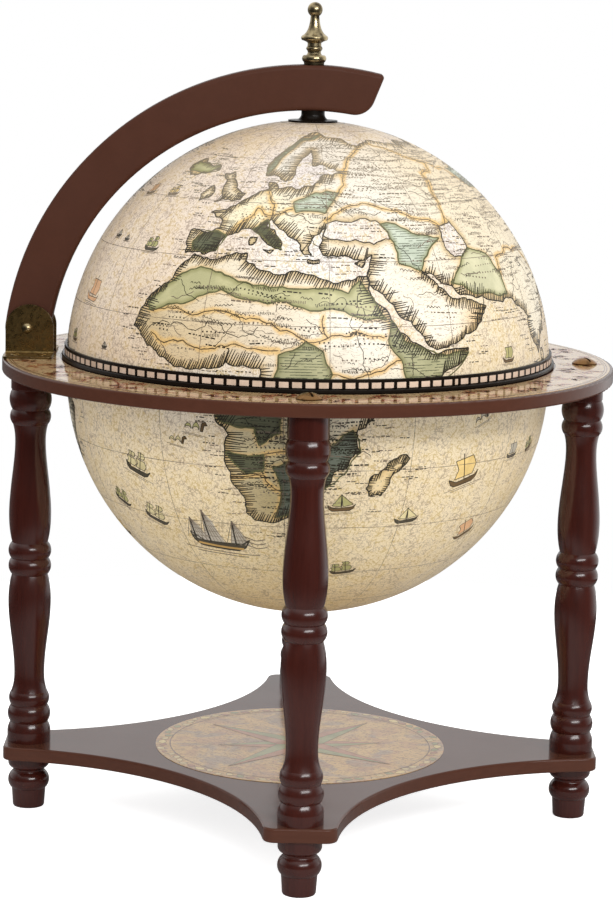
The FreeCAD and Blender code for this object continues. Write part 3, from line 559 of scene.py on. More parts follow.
CEYLON = ((71, 7), (73, 6), (73, 4), (71, 4))
SUMATRA = ((84, 5), (90, 0), (96, -5), (94, -6), (87, -1))
JAVA = ((96, -6), (105, -7), (105, -8), (97, -8))
BORNEO = ((100, 2), (107, 6), (109, 2), (106, -3), (101, -3))
CELEBES = ((110, 1), (116, 1), (113, -5), (111, -4))
NEW_GUINEA = ((122, -1), (132, -2), (141, -8), (133, -8), (126, -5))
AUSTRALIA = (
    (104, -20), (113, -17), (121, -13), (127, -11), (131, -15), (133, -10), (137, -17), (144, -23),
    (143, -32), (136, -34), (128, -30), (118, -28), (106, -30),
)
JAPAN = ((121, 28), (128, 30), (133, 36), (131, 38), (129, 33), (122, 30))
NORTH_AMERICA = (
    (-178, 57), (-168, 61), (-150, 60), (-135, 59), (-122, 62), (-113, 57), (-107, 52), (-103, 54),
    (-100, 61), (-90, 54), (-82, 46), (-92, 42), (-98, 38), (-102, 34), (-108, 30), (-107, 22),
    (-110, 25), (-117, 26), (-124, 24), (-123, 17), (-116, 18), (-114, 14), (-110, 13), (-110, 9),
    (-106, 7), (-108, 6), (-114, 10), (-122, 14), (-131, 17), (-138, 26), (-142, 30), (-151, 34),
    (-152, 42), (-160, 50), (-172, 51),
)
SOUTH_AMERICA = (
    (-105, 7), (-100, 10), (-90, 9), (-80, 5), (-77, -1), (-66, -4), (-62, -7), (-66, -14), (-68, -20),
    (-76, -25), (-82, -31), (-87, -36), (-92, -44), (-96, -47), (-101, -44), (-100, -34), (-97, -24),
    (-98, -16), (-106, -8), (-107, -2),
)
GREENLAND = ((-128, 68), (-112, 72), (-88, 71), (-80, 66), (-90, 60), (-98, 56), (-106, 60), (-110, 66))
CUBA = ((-111, 19), (-104, 18), (-101, 17), (-106, 18))
HISPANIOLA = ((-100, 17), (-95, 17), (-95, 16), (-100, 16))
NEW_ZEALAND = ((165, -31), (170, -34), (166, -40), (161, -41))
COASTS = (
    AFRICA, EURASIA, MADAGASCAR, BRITAIN, IRELAND, ICELAND, SICILY, SARDINIA, CRETE, CYPRUS, CEYLON,
    SUMATRA, JAVA, BORNEO, CELEBES, NEW_GUINEA, AUSTRALIA, JAPAN, NORTH_AMERICA, SOUTH_AMERICA, GREENLAND,
    CUBA, HISPANIOLA, NEW_ZEALAND,
)
LAKES = (
    ((3, 37), (4, 40), (7, 41), (13, 41), (19, 41), (22, 38), (22, 36), (12, 36), (7, 36)),
    ((40, 39), (45, 40), (46, 37), (47, 33), (44, 31), (41, 31), (39, 33), (39, 36)),
)
OLIVE, SAGE, TEAL, DARK, YELLOW, MOSS = (
    linear(200, 196, 148), linear(206, 216, 198), linear(92, 106, 96), linear(84, 92, 70),
    linear(222, 218, 180), linear(180, 180, 140))
GREEN_COUNTRIES = (
    (OLIVE, ((-42, 19), (-38, 23), (-34, 26), (-29, 28), (-23, 27), (-18, 25), (-10, 24), (2, 24),
             (9, 23), (12, 26), (15, 22), (18, 17), (13, 17), (8, 19), (2, 19), (-6, 21), (-14, 21),
             (-22, 23), (-28, 21), (-32, 19), (-37, 18), (-41, 17))),
    (MOSS, ((-8, 3), (-7, 9), (-1, 12), (3, 10), (5, 5), (3, 2))),
    (MOSS, ((18, 12), (19, 17), (22, 12), (30, 9), (39, 9), (33, 4), (22, 4), (21, 8))),
    (SAGE, ((20, 40), (25, 40), (31, 37), (38, 36), (33, 33), (29, 28), (23, 30), (23, 35))),
    (YELLOW, ((47, 33), (54, 31), (57, 26), (57, 21), (44, 22), (37, 25), (42, 29))),
    (DARK, ((-33, 32), (-34, 34), (-31, 37), (-24, 36), (-26, 32))),
    (SAGE, ((-6, 46), (1, 49), (9, 49), (4, 43), (-5, 43))),
    (OLIVE, ICELAND),
    (SAGE, ((-18, 54), (-19, 57), (-15, 64), (-8, 71), (6, 74), (4, 72), (-8, 69), (-13, 63), (-16, 57))),
    (DARK, ((-9, 36), (-8, 33), (-11, 34), (-17, 38), (-13, 41), (-12, 38))),
    (DARK, ((-10, -4), (-2, -5), (-1, -9), (4, -6), (4, -1), (-12, -1))),
    (TEAL, ((2, -14), (12, -10), (20, -5), (22, -10), (14, -19), (8, -25), (2, -27), (4, -20))),
    (DARK, ((-9, -11), (0, -11), (0, -15), (-4, -16))),
    (YELLOW, ((-120, 50), (-110, 48), (-104, 44), (-112, 40), (-122, 42))),
    (OLIVE, ((-96, 4), (-84, 2), (-78, -8), (-88, -12), (-97, -6))),
    (SAGE, ((-92, -28), (-86, -30), (-92, -40), (-97, -36))),
    (YELLOW, ((86, 30), (98, 33), (104, 28), (96, 24), (88, 24))),
    (SAGE, ((74, 56), (96, 58), (104, 52), (90, 48), (76, 50))),
    (OLIVE, ((112, -20), (126, -16), (128, -24), (116, -26))),
)
# (longitude, latitude, reach in degrees, tint as a screen shows it) of the paper's softer colours, and of
# one sea spot that is painted light
LAND_TINTS = (
    (-26, 10, 11, (214, 186, 132)), (-41, 14, 5, (196, 168, 112)), (-14, 15, 12, (238, 224, 200)),
    (8, 12, 9, (246, 240, 226)), (30, 16, 9, (254, 246, 230)), (26, 42, 12, (242, 237, 226)),
    (52, 44, 18, (240, 228, 200)), (70, 60, 20, (246, 220, 176)), (44, 15, 5, (232, 184, 104)),
    (-6, 48, 9, (250, 240, 208)), (-16, 42, 6, (248, 234, 184)), (0, -12, 12, (180, 162, 106)),
    (2, 58, 14, (244, 240, 234)), (28, -16, 6, (232, 204, 146)), (2, -24, 6, (180, 156, 92)),
    (10, 72, 14, (240, 226, 206)),
)
SEA_TINTS = (
    # The spot at longitude -60, latitude 58 is lighter to make up for the shade on the lid's upper left:
    # painted light
    (-58, 24, 24, (246, 226, 202)), (-70, 68, 7, (240, 212, 170)), (-60, 58, 20, (254, 236, 214)),
    (0, 34, 11, (252, 250, 246)), (-24, 52, 14, (244, 232, 222)), (2, 58, 11, (240, 236, 236)),
    (43, 36, 6, (246, 240, 236)), (32, 16, 6, (246, 242, 234)), (48, 4, 16, (246, 232, 200)),
    (-20, 3, 9, (244, 236, 222)), (-34, 66, 6, (238, 214, 178)), (-40, -22, 22, (254, 234, 194)),
    (-5, -45, 26, (246, 226, 178)), (30, -20, 22, (238, 220, 182)), (62, -24, 22, (240, 220, 180)),
    (0, -76, 26, (230, 202, 146)), (-150, -30, 60, (238, 220, 182)), (130, -30, 50, (238, 220, 182)),
)
# Weight of the bare paper beside those tints
BARE_PAPER = 0.3
BORDERS = (
    ((-40, 17), (-33, 18), (-27, 17), (-24, 18), (-17, 17), (-9, 16), (-4, 14), (1, 12), (4, 13),
     (3, 18)),
    ((-39, 12), (-35, 10), (-30, 11), (-17, 11), (-11, 10), (-7, 10)),
    ((4, 13), (12, 14), (17, 13)),
    ((5, 5), (10, 4), (17, 6), (21, 8)),
    ((35, 69), (47, 64), (60, 59), (49, 55), (46, 49), (44, 42), (42, 39)),
    ((4, 41), (9, 44), (16, 46), (24, 44), (36, 41), (40, 39)),
    ((57, 26), (58, 30), (64, 31), (77, 31), (84, 24)),
    ((-17, 44), (-12, 42), (-6, 44)),
    ((-15, 49), (-12, 45), (-12, 42)),
    ((9, 49), (12, 55), (18, 62), (28, 67)),
    ((-24, 36), (-19, 41), (-17, 44)),
    ((-8, -17), (0, -16), (4, -20), (2, -27)),
    ((0, -11), (6, -10), (12, -10)),
    ((-140, 40), (-125, 36), (-112, 40), (-100, 40)),
    ((-104, -10), (-92, -12), (-80, -16), (-70, -16)),
    ((60, 59), (78, 50), (96, 46), (116, 42)),
    ((112, -20), (118, -28)),
)
RIVERS = (
    ((12, 26), (11, 21), (9, 16), (12, 10), (14, 3), (13, -2)),
    ((-40, 13), (-34, 14), (-26, 14), (-18, 13), (-12, 15)),
    ((-10, -5), (-4, -3), (2, -6), (6, -4)),
    ((14, -15), (8, -14), (4, -12), (-1, -13)),
    ((29, 28), (26, 32), (22, 35)),
    ((45, 40), (43, 45), (40, 51), (34, 54)),
    ((-14, 49), (-12, 46)),
    ((4, 42), (-2, 41), (-8, 43), (-14, 44)),
    ((60, 17), (63, 24), (66, 28)),
    ((82, 19), (74, 24), (70, 28)),
    ((109, 26), (98, 29), (88, 31)),
    ((-78, -1), (-88, -3), (-98, -4)),
    ((-84, -31), (-84, -22), (-88, -16)),
    ((-115, 26), (-116, 34), (-120, 42)),
)
# Outlines have no run longer than a step in degrees, and bend by a share of each run
COAST_STEP = 1.3
COAST_BENDS = 0.16
# Millimetres from an outline at which its washes have long ended
FAR = 20.0


def roughened(points, closed, seed, step=COAST_STEP, bends=COAST_BENDS):
    """An outline with small natural bends: long runs are halved, and their middles moved aside."""
    chance = random.Random(seed)
    line = [np.array(point, float) for point in points]
    if closed:
        line.append(line[0])
    while True:
        finer, split = [line[0]], False
        for start, end in zip(line, line[1:]):
            run = end - start
            size = math.hypot(run[0] * math.cos(math.radians(start[1])), run[1])
            if size > step:
                aside = np.array([-run[1], run[0]]) * chance.uniform(-bends, bends)
                finer.append((start + end) / 2 + aside)
                split = True
            finer.append(end)
        line = finer
        if not split:
            return np.array(line)


def on_globe(degrees):
    """Directions from the globe's centre to longitudes and latitudes. Longitude 0 faces the front."""
    lon, lat = np.radians(degrees[..., 0]), np.radians(degrees[..., 1])
    return np.stack([np.sin(lon) * np.cos(lat), -np.cos(lon) * np.cos(lat), np.sin(lat)], -1)


def to_degrees(directions, turn_degrees):
    """Longitudes and latitudes of directions, on a globe that is turned."""
    lon = np.degrees(np.arctan2(directions[..., 0], -directions[..., 1])) - turn_degrees
    lat = np.degrees(np.arcsin(np.clip(directions[..., 2], -1, 1)))
    return np.stack([(lon + 180) % 360 - 180, lat], -1)


def unit(vectors):
    return vectors / np.maximum(np.linalg.norm(vectors, axis=-1, keepdims=True), 1e-12)


def nearest_on_lines(directions, lines, radius, spacing=0.6 * MM):
    """Distance in millimetres from each direction to the nearest line, and which line that is."""
    samples, owners = [], []
    for number, line in enumerate(lines):
        corners = on_globe(line)
        for start, end in zip(corners, corners[1:]):
            count = max(1, math.ceil(np.linalg.norm(end - start) * radius / spacing))
            samples.append(start + (end - start) * (np.arange(count) / count)[:, None])
            owners += [number] * count
    samples = np.concatenate(samples)
    tree = KDTree(len(samples))
    for index, sample in enumerate(samples.tolist()):
        tree.insert(sample, index)
    tree.balance()
    found = [tree.find(direction) for direction in directions.tolist()]
    distances = np.array([distance for _, _, distance in found]) * radius / MM
    return np.minimum(distances, FAR), np.array(owners)[[index for _, index, _ in found]]


class Region:
    """Closed outlines with holes, in longitude and latitude."""

    def __init__(self, outlines, holes=()):
        self.outlines, self.holes = list(outlines), list(holes)

    @staticmethod
    def inside(degrees, outline):
        """Which places lie inside one outline."""
        result = np.zeros(len(degrees), bool)
        low, high = outline.min(0), outline.max(0)
        near = np.flatnonzero(((degrees >= low) & (degrees <= high)).all(1))
        if not len(near):
            return result
        lon, lat = degrees[near, 0], degrees[near, 1]
        odd = np.zeros(len(near), bool)
        for (lon_a, lat_a), (lon_b, lat_b) in zip(outline, outline[1:]):
            if lat_a != lat_b:
                crosses = (lat_a > lat) != (lat_b > lat)
                odd ^= crosses & (lon < lon_a + (lat - lat_a) * (lon_b - lon_a) / (lat_b - lat_a))
        result[near] = odd
        return result

    def which(self, degrees):
        """The number of the outline that each place lies in, or -1."""
        owner = np.full(len(degrees), -1)
        for number, outline in enumerate(self.outlines):
            owner[self.inside(degrees, outline)] = number
        for hole in self.holes:
            owner[self.inside(degrees, hole)] = -1
        return owner

    def covers(self, degrees, margin=0.0):
        """Which places lie inside, also when they move by a margin in degrees."""
        result = self.which(degrees) >= 0
        if margin:
            for move in ((margin, 0), (-margin, 0), (0, margin), (0, -margin)):
                result &= self.which(degrees + move) >= 0
        return result

    def depths(self, directions, degrees, radius):
        """How deep each place lies inside, in millimetres, below 0 outside, and of which outline."""
        distances, nearest = nearest_on_lines(directions, self.outlines + self.holes, radius)
        owner = self.which(degrees)
        return np.where(owner >= 0, distances, -distances), np.where(owner >= 0, owner, nearest)


class WorldMap:
    """The map's lines, roughened once and shared by the lid and the bowl. Each line has its own seed."""

    def __init__(self):
        self.land = Region(self.roughen(COASTS, True, 10), self.roughen(LAKES, True, 60))
        self.greens = Region(self.roughen([line for _, line in GREEN_COUNTRIES], True, 90, 2.0, 0.1))
        self.borders = self.roughen(BORDERS, False, 130, 1.6, 0.14)
        self.rivers = self.roughen(RIVERS, False, 170, 1.2, 0.24)

    @staticmethod
    def roughen(lines, closed, first_seed, *how):
        return [roughened(line, closed, first_seed + index, *how) for index, line in enumerate(lines)]


# Pieces
def new_mesh(name, points, faces):
    mesh = bpy.data.meshes.new(name)
    mesh.from_pydata(points, [], faces)
    mesh.update()
    return mesh


def new_object(name, data):
    item = bpy.data.objects.new(name, data)
    bpy.context.scene.collection.objects.link(item)
    return item


def add_piece(mesh, body, material):
    """An object that rides on a body, with its mesh's name."""
    piece = new_object(mesh.name, mesh)
    mesh.materials.append(material)
    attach(piece, body)
    return piece


def turned_mesh(name, outline, segments):
    """A mesh turned about the globe's axis from radii and heights. A row with radius 0 is one point."""
    angles = 2 * math.pi * np.arange(segments) / segments
    points, faces, rows = [], [], []
    for radius, height in outline:
        if radius == 0:
            rows.append([len(points)])
            points.append((0, 0, height))
        else:
            rows.append(list(range(len(points), len(points) + segments)))
            points += [(radius * math.sin(a), -radius * math.cos(a), height) for a in angles]
    for low, high in zip(rows, rows[1:]):
        for index in range(segments):
            after = (index + 1) % segments
            if len(low) == 1:
                faces.append((low[0], high[after], high[index]))
            elif len(high) == 1:
                faces.append((low[index], low[after], high[0]))
            else:
                faces.append((low[index], low[after], high[after], high[index]))
    mesh = new_mesh(name, points, faces)
    mesh.validate()
    mesh.shade_smooth()
    return mesh


def arc_points(radius, centre_z, low_z, high_z, spacing):
    """Radii and heights along an arc of the globe between two heights."""
    low = math.asin(max(-1.0, (low_z - centre_z) / radius))
    high = math.asin(min(1.0, (high_z - centre_z) / radius))
    count = max(2, round(abs(high - low) * radius / spacing))
    angles = [low + (high - low) * index / count for index in range(count + 1)]
    return [(radius * math.cos(angle), centre_z + radius * math.sin(angle)) for angle in angles]


def write_values(mesh, name, values):
    """Writes one number or one colour for each point of a mesh."""
    if values.ndim == 1:
        attribute = mesh.attributes.new(name, "FLOAT", "POINT")
        attribute.data.foreach_set("value", values.astype(np.float32))
    else:
        colours = np.column_stack([values, np.ones(len(values))]).astype(np.float32)
        attribute = mesh.color_attributes.new(name, "FLOAT_COLOR", "POINT")
        attribute.data.foreach_set("color", colours.ravel())


def blended_tints(directions, base, spots):
    """The paper's tint at each direction: a base, with softer colours round some places."""
    weights = np.full(len(directions), BARE_PAPER)
    total = np.outer(weights, base)
    for lon, lat, reach, tint in spots:
        middle = on_globe(np.array([lon, lat], float))
        away = np.degrees(np.arccos(np.clip(directions @ middle, -1, 1))) / reach
        weight = np.exp(-away ** 2)
        total += np.outer(weight, linear(*tint))
        weights += weight
    return total / weights[:, None]


def add_map_values(mesh, world, centre_z, radius, turn_degrees):
    """Writes what the map's material reads to the points of a mesh."""
    tones = settings().map
    points = np.zeros(len(mesh.vertices) * 3)
    mesh.vertices.foreach_get("co", points)
    degrees = to_degrees(unit(points.reshape(-1, 3) - (0, 0, centre_z)), turn_degrees)
    directions = on_globe(degrees)
    inland, _ = world.land.depths(directions, degrees, radius)
    green, country = world.greens.depths(directions, degrees, radius)
    border, _ = nearest_on_lines(directions, world.borders, radius)
    write_values(mesh, "inland", inland)
    write_values(mesh, "green", green)
    write_values(mesh, "border", border)
    write_values(mesh, "green_tint", np.array([tint for tint, _ in GREEN_COUNTRIES])[country])
    write_values(mesh, "land_tint", blended_tints(directions, tones.land, LAND_TINTS))
    write_values(mesh, "sea_tint", blended_tints(directions, tones.sea, SEA_TINTS))


# Printed lines
class Print:
    """Printed lines and washes on a surface, as thin faces in layers, that carry their own tint.

    Each kind of print says which faces it keeps, where a layer lies and which way is outward.
    """
    LAYER = 0.02 * MM
    WASH, PATCH, LINE = range(1, 4)
    LONGEST = 4 * MM

    def __init__(self):
        self.points, self.faces, self.tints, self.count = [], [], [], 0

    def lay(self, corners, tint, layer):
        """Adds faces, given as the places of their corners."""
        corners = corners[self.keeps(corners)]
        number, sides = corners.shape[:2]
        self.points.append(self.raised(corners, layer).reshape(-1, 3))
        self.faces += (np.arange(number * sides).reshape(number, sides) + self.count).tolist()
        self.tints.append(self.corner_tints(corners, tint))
        self.count += number * sides

    def corner_tints(self, corners, tint):
        return np.tile(tint, (corners.shape[0] * corners.shape[1], 1))

    def strokes(self, starts, ends, first_width, last_width, tint, layer=LINE):
        """Strokes with a width at each end, in pieces short enough to follow the surface."""
        run = ends - starts
        side = unit(np.cross(self.outward(starts), run)) / self.scale / 2
        first = side * np.reshape(first_width, (-1, 1))
        last = side * np.reshape(last_width, (-1, 1))
        longest = np.linalg.norm(run, axis=1).max(initial=0) * self.scale
        shares = np.linspace(0, 1, max(1, math.ceil(longest / self.LONGEST)) + 1)
        for low, high in zip(shares, shares[1:]):
            near, near_side = starts + run * low, first + (last - first) * low
            far, far_side = starts + run * high, first + (last - first) * high
            corners = np.stack([near + near_side, near - near_side, far - far_side, far + far_side], 1)
            self.lay(corners, tint, layer)

    def line(self, spots, width, tint, chance, layer=LINE, uneven=0.25):
        """A line through places, a little uneven in its width."""
        widths = np.array([width * chance.uniform(1 - uneven, 1 + uneven) for _ in spots])
        self.strokes(spots[:-1], spots[1:], widths[:-1], widths[1:], tint, layer)

    def patch(self, sheet, outline, tint, layer=PATCH):
        """A filled shape, outlined in metres on a sheet, in triangles small enough for the surface."""
        shape = np.array(outline, float)
        flat = [Vector((x, y, 0)) for x, y in outline]
        triangles = [shape[list(corners)] for corners in tessellate_polygon([flat])]
        while triangles:
            triangle = triangles.pop()
            edges = np.linalg.norm(np.roll(triangle, -1, 0) - triangle, axis=1)
            if edges.max() > self.LONGEST:
                first, second, third = np.roll(triangle, -int(edges.argmax()), 0)
                middle = (first + second) / 2
                triangles += [np.array([first, middle, third]), np.array([middle, second, third])]
                continue
            turn = np.cross(triangle[1] - triangle[0], triangle[2] - triangle[0])
            if abs(turn) > 1e-12:
                self.lay(sheet(triangle if turn > 0 else triangle[::-1])[None], tint, layer)

    def pen(self, sheet, outline, width, tint, closed=False, layer=LINE):
        """A line of one width through points in metres on a sheet."""
        spots = sheet(np.array([*outline, outline[0]] if closed else outline, float))
        self.strokes(spots[:-1], spots[1:], width, width, tint, layer)

    def drawn(self, sheet, outline, fill, width, tint, layer=PATCH):
        """A filled shape with an inked outline."""
        self.patch(sheet, outline, fill, layer)
        self.pen(sheet, outline, width, tint, True, layer + 1)

    def mesh(self, name):
        mesh = new_mesh(name, np.concatenate(self.points).tolist(), self.faces)
        write_values(mesh, "tint", np.concatenate(self.tints))
        return mesh


class GlobePrint(Print):
    """A print on one half of the globe. Places are directions from its centre."""
    # Towards the crown the ink is mixed with a pale tint: a painted sheen, the veil of reflected light
    # over the lid's top
    CROWN_SHEEN_TINT = linear(206, 190, 164)
    FADE_FROM, FADE_TO, FADE_MOST = 0.55, 0.85, 0.42

    def __init__(self, centre_z, radius, turn_degrees, low_z, high_z):
        super().__init__()
        self.centre_z, self.scale, self.turn = centre_z, radius, turn_degrees
        self.low, self.high = (low_z - centre_z) / radius, (high_z - centre_z) / radius

    def keeps(self, corners):
        return ((corners[..., 2] > self.low) & (corners[..., 2] < self.high)).all(1)

    def raised(self, corners, layer):
        return np.array([0, 0, self.centre_z]) + unit(corners) * (self.scale + layer * self.LAYER)

    def corner_tints(self, corners, tint):
        """The tint of each corner. The ink is paler towards the crown: a painted sheen, the whitish veil
        of reflected light over the top of the lid.
        """
        height = unit(corners)[..., 2].reshape(-1, 1)
        share = np.clip((height - self.FADE_FROM) / (self.FADE_TO - self.FADE_FROM), 0, 1)
        share *= self.FADE_MOST
        return np.array(tint) * (1 - share) + np.array(self.CROWN_SHEEN_TINT) * share

    def outward(self, spots):
        return spots

    def directions(self, degrees):
        return on_globe(np.asarray(degrees, float) + (self.turn, 0))

    def sheet(self, lon, lat, turn=0.0, facing=1):
        """A small sheet at a place: metres to the right of and above it become directions."""
        out = self.directions([lon, lat])
        east = unit(np.cross([0, 0, 1], out))
        north = np.cross(out, east)
        cos, sin = math.cos(turn), math.sin(turn)

        def onto(points):
            x, y = points[:, :1] * facing, points[:, 1:]
            spots = out + (east * (x * cos - y * sin) + north * (x * sin + y * cos)) / self.scale
            return unit(spots if facing > 0 else spots[::-1])
        return onto


class FlatPrint(Print):
    """A print on a flat paper that faces up. Places are points of its plane."""
    LONGEST = 6 * MM
    scale = 1.0

    def __init__(self, height, inner, outer):
        super().__init__()
        self.height, self.inner, self.outer = height, inner, outer

    def keeps(self, corners):
        reach = np.linalg.norm(corners, axis=2)
        return ((reach >= self.inner) & (reach <= self.outer)).all(1)

    def raised(self, corners, layer):
        return corners + (0, 0, self.height + layer * self.LAYER)

    def outward(self, spots):
        return np.tile([0.0, 0.0, 1.0], (len(spots), 1))

    def polar_sheet(self, radius, angle):
        """A sheet bent round the axis: metres along a circle and outwards from it."""
        def onto(points):
            turn = angle - points[:, 0] / radius
            reach = radius + points[:, 1]
            return np.stack([reach * np.cos(turn), reach * np.sin(turn), np.zeros(len(points))], 1)
        return onto

    def circle(self, radius, width, tint, chance):
        along = np.radians(np.arange(0, 361, 2)) * radius
        spots = self.polar_sheet(radius, 0)(np.column_stack([along, np.zeros(len(along))]))
        self.line(spots, width, tint, chance)


# What is drawn on the map. The lands and the green countries have their measures in degrees.
LARGE_LAND = 20
GREEN_STEP, GREEN_PITCH = 1.2, 0.62
# The strokes, hills, streams and marks have theirs in millimetres
HATCH_PITCH, HATCH_SHORTEST, HATCH_LONGEST = 1.7, 1.0, 10.5
HILL_PITCH, STREAM_STEP = 2.6, 1.5
DOT_GAP, STROKE_RUN, STROKE_GAP = 1.9, 0.4, 0.7
FINE_PEN = 0.42 * MM
# Random places that are tried for each one that is wanted
TRIES = 12


def hatch_coasts(ink, land, tint, chance):
    """Close strokes from each coast inland, level along steep coasts and slanted along others."""
    pitch = HATCH_PITCH * MM / ink.scale
    for outline in land.outlines:
        corners = ink.directions(outline)
        runs = corners[1:] - corners[:-1]
        sizes = np.linalg.norm(runs, axis=1)
        ends = np.cumsum(sizes)
        extent = min(np.ptp(outline[:, 0]), np.ptp(outline[:, 1]))
        reach = min(HATCH_LONGEST, HATCH_SHORTEST + 0.55 * extent) * MM / ink.scale
        spots = np.arange(pitch, ends[-1], pitch)
        spots += np.array([chance.uniform(-0.22, 0.22) for _ in spots]) * pitch
        which = np.minimum(np.searchsorted(ends, spots), len(runs) - 1)
        share = np.clip((spots - ends[which] + sizes[which]) / sizes[which], 0, 1)[:, None]
        feet = unit(corners[which] + runs[which] * share)
        before, after = np.maximum(which - 1, 0), np.minimum(which + 2, len(corners) - 1)
        # The strokes go to the side where the land is
        aside = np.cross(feet, unit(corners[after] - corners[before]))
        probe = to_degrees(unit(feet + aside * 1.5 * MM / ink.scale), ink.turn)
        aside *= np.where(land.covers(probe), 1, -1)[:, None]
        # They swell and shrink along the coast, and are longer in the south of the large lands
        swell = 0.72 + 0.28 * np.sin(spots / (9 * pitch) + chance.uniform(0, 6))
        longer = np.where((feet[:, 2] < 0) & (extent > LARGE_LAND), 1.35, 1.0)
        length = reach * swell * longer * np.array([chance.uniform(0.75, 1.15) for _ in spots])
        east = unit(np.cross([0, 0, 1], feet))
        steep = np.abs((aside * east).sum(1)) > 0.75
        # Sixty degrees up from east
        slanted = 0.5 * east + 0.87 * np.cross(feet, east)
        heading = np.where(steep[:, None], east, slanted)
        heading *= np.where((heading * aside).sum(1) < 0, -1, 1)[:, None]
        tips = unit(feet + unit(heading + 0.35 * aside) * length[:, None])
        inside = land.covers(to_degrees(tips, ink.turn))
        ink.strokes(feet[inside], tips[inside], 0.9 * MM, 0.5 * MM, tint)


def hatch_countries(ink, greens, tint, chance):
    """Close level strokes over the darker green countries."""
    for (shade, _), outline in zip(GREEN_COUNTRIES, greens.outlines):
        if shade in (OLIVE, YELLOW):
            continue
        (west, south), (east, north) = outline.min(0), outline.max(0)
        for lat in np.arange(south, north, GREEN_PITCH):
            lons = np.arange(west, east, GREEN_STEP) + chance.uniform(0, GREEN_STEP)
            places = np.column_stack([lons, np.full(len(lons), lat)])
            within = greens.inside(places, outline) & greens.inside(places + (GREEN_STEP, 0), outline)
            drawn = places[within & np.array([chance.random() < 0.7 for _ in lons], bool)]
            starts, ends = ink.directions(drawn), ink.directions(drawn + (GREEN_STEP, 0.05))
            ink.strokes(starts, ends, FINE_PEN, 0.3 * MM, tint)


def marks_row(ink, lon, lat, length, slope, kind, size, tint, chance):
    """A row of small printed marks: dots, dashes or low strokes."""
    x = 0.0
    sheet = ink.sheet(lon, lat, slope)
    while x < length:
        run = {"dots": size, "dashes": chance.uniform(0.8, 3.4) * MM, "strokes": STROKE_RUN * MM}[kind]
        tall = size if kind != "strokes" else size * chance.uniform(1.2, 2.6)
        y = chance.uniform(-0.12, 0.12) * MM
        spots = sheet(np.array([(x, y), (x + run, y + chance.uniform(-0.1, 0.1) * MM)]))
        ink.strokes(spots[:1], spots[1:], tall, tall, tint)
        gaps = {"dots": DOT_GAP, "dashes": chance.uniform(0.6, 1.3), "strokes": STROKE_GAP}
        x += run + gaps[kind] * MM


def scattered(region, wanted, chance, low_lat, high_lat, margin, covered=True):
    """Random places of the globe that lie in a region, or outside it."""
    tries = range(TRIES * wanted)
    places = np.array([(chance.uniform(-180, 180), chance.uniform(low_lat, high_lat)) for _ in tries])
    fits = region.covers(places, margin) if covered else ~region.covers(places)
    return places[fits][:wanted].tolist()


def inland_rows(ink, land, chance, tones):
    """Rows of dots, dashes and low strokes over the lands, in the place of lettering."""
    for lon, lat in scattered(land, 900, chance, -40, 72, 3.0):
        kinds = ("dots", "dots", "dashes", "strokes") if lat > 0 else ("dots", "dashes", "dashes")
        kind = chance.choice(kinds)
        length = chance.uniform(7, 20) * (1.5 if lat < 0 else 1.0) * MM
        inks = (tones.faint_ink,) if lon > 26 else (tones.ink, tones.ink, tones.faint_ink)
        marks_row(ink, lon, lat, length, chance.uniform(-0.14, 0.1), kind, chance.uniform(0.7, 1.1) * MM,
                  chance.choice(inks), chance)


def hills(ink, land, chance, tones):
    """Short chains of hills."""
    for lon, lat in scattered(land, 190, chance, -38, 70, 3.0):
        sheet = ink.sheet(lon, lat, chance.uniform(-0.3, 0.3))
        for index in range(chance.randint(2, 6)):
            x, size = index * HILL_PITCH * MM, chance.uniform(0.9, 1.5) * MM
            hill = [(x - size, 0), (x - 0.2 * size, size), (x + 0.2 * size, size * 0.9), (x + size, 0)]
            ink.pen(sheet, hill, FINE_PEN, tones.ink)


def streams(ink, land, chance, tones):
    """Thin wandering lines."""
    for lon, lat in scattered(land, 300, chance, -40, 70, 2.0):
        heading, x, y = chance.uniform(-0.7, 0.7), 0.0, 0.0
        path = [(x, y)]
        for _ in range(chance.randint(6, 18)):
            heading = 0.8 * heading + chance.uniform(-0.7, 0.7)
            x += STREAM_STEP * MM * math.cos(heading)
            y += STREAM_STEP * MM * math.sin(heading)
            path.append((x, y))
        ink.pen(ink.sheet(lon, lat, chance.uniform(-0.4, 0.4)), path, chance.uniform(0.3, 0.5) * MM,
                chance.choice((tones.ink, tones.faint_ink)))


def southern_rows(ink, land, chance, tones):
    """More rows of dashes over the lands of the bowl."""
    for lon, lat in scattered(land, 340, chance, -32, -4, 1.5):
        marks_row(ink, lon, lat, chance.uniform(8, 18) * MM, chance.uniform(-0.1, 0.1), "dashes",
                  chance.uniform(0.45, 0.75) * MM, tones.ink, chance)


def sea_rows(ink, land, chance, tones):
    """Rows of short dashes in the sea off the coasts."""
    places = np.array(scattered(land, 4200, chance, -42, 66, 0.0, False))
    near = np.zeros(len(places), bool)
    for move in ((6, 0), (-6, 0), (0, 5), (0, -5)):
        near |= land.covers(places + move)
    for move in ((1.5, 0), (-1.5, 0)):
        near &= ~land.covers(places + move)
    for lon, lat in places[near].tolist():
        length, size = chance.uniform(3, 10) * MM, chance.uniform(0.45, 0.75) * MM
        tint = chance.choice((tones.ink, tones.ink, tones.faint_ink))
        marks_row(ink, lon, lat, length, 0.0, "dashes", size, tint, chance)


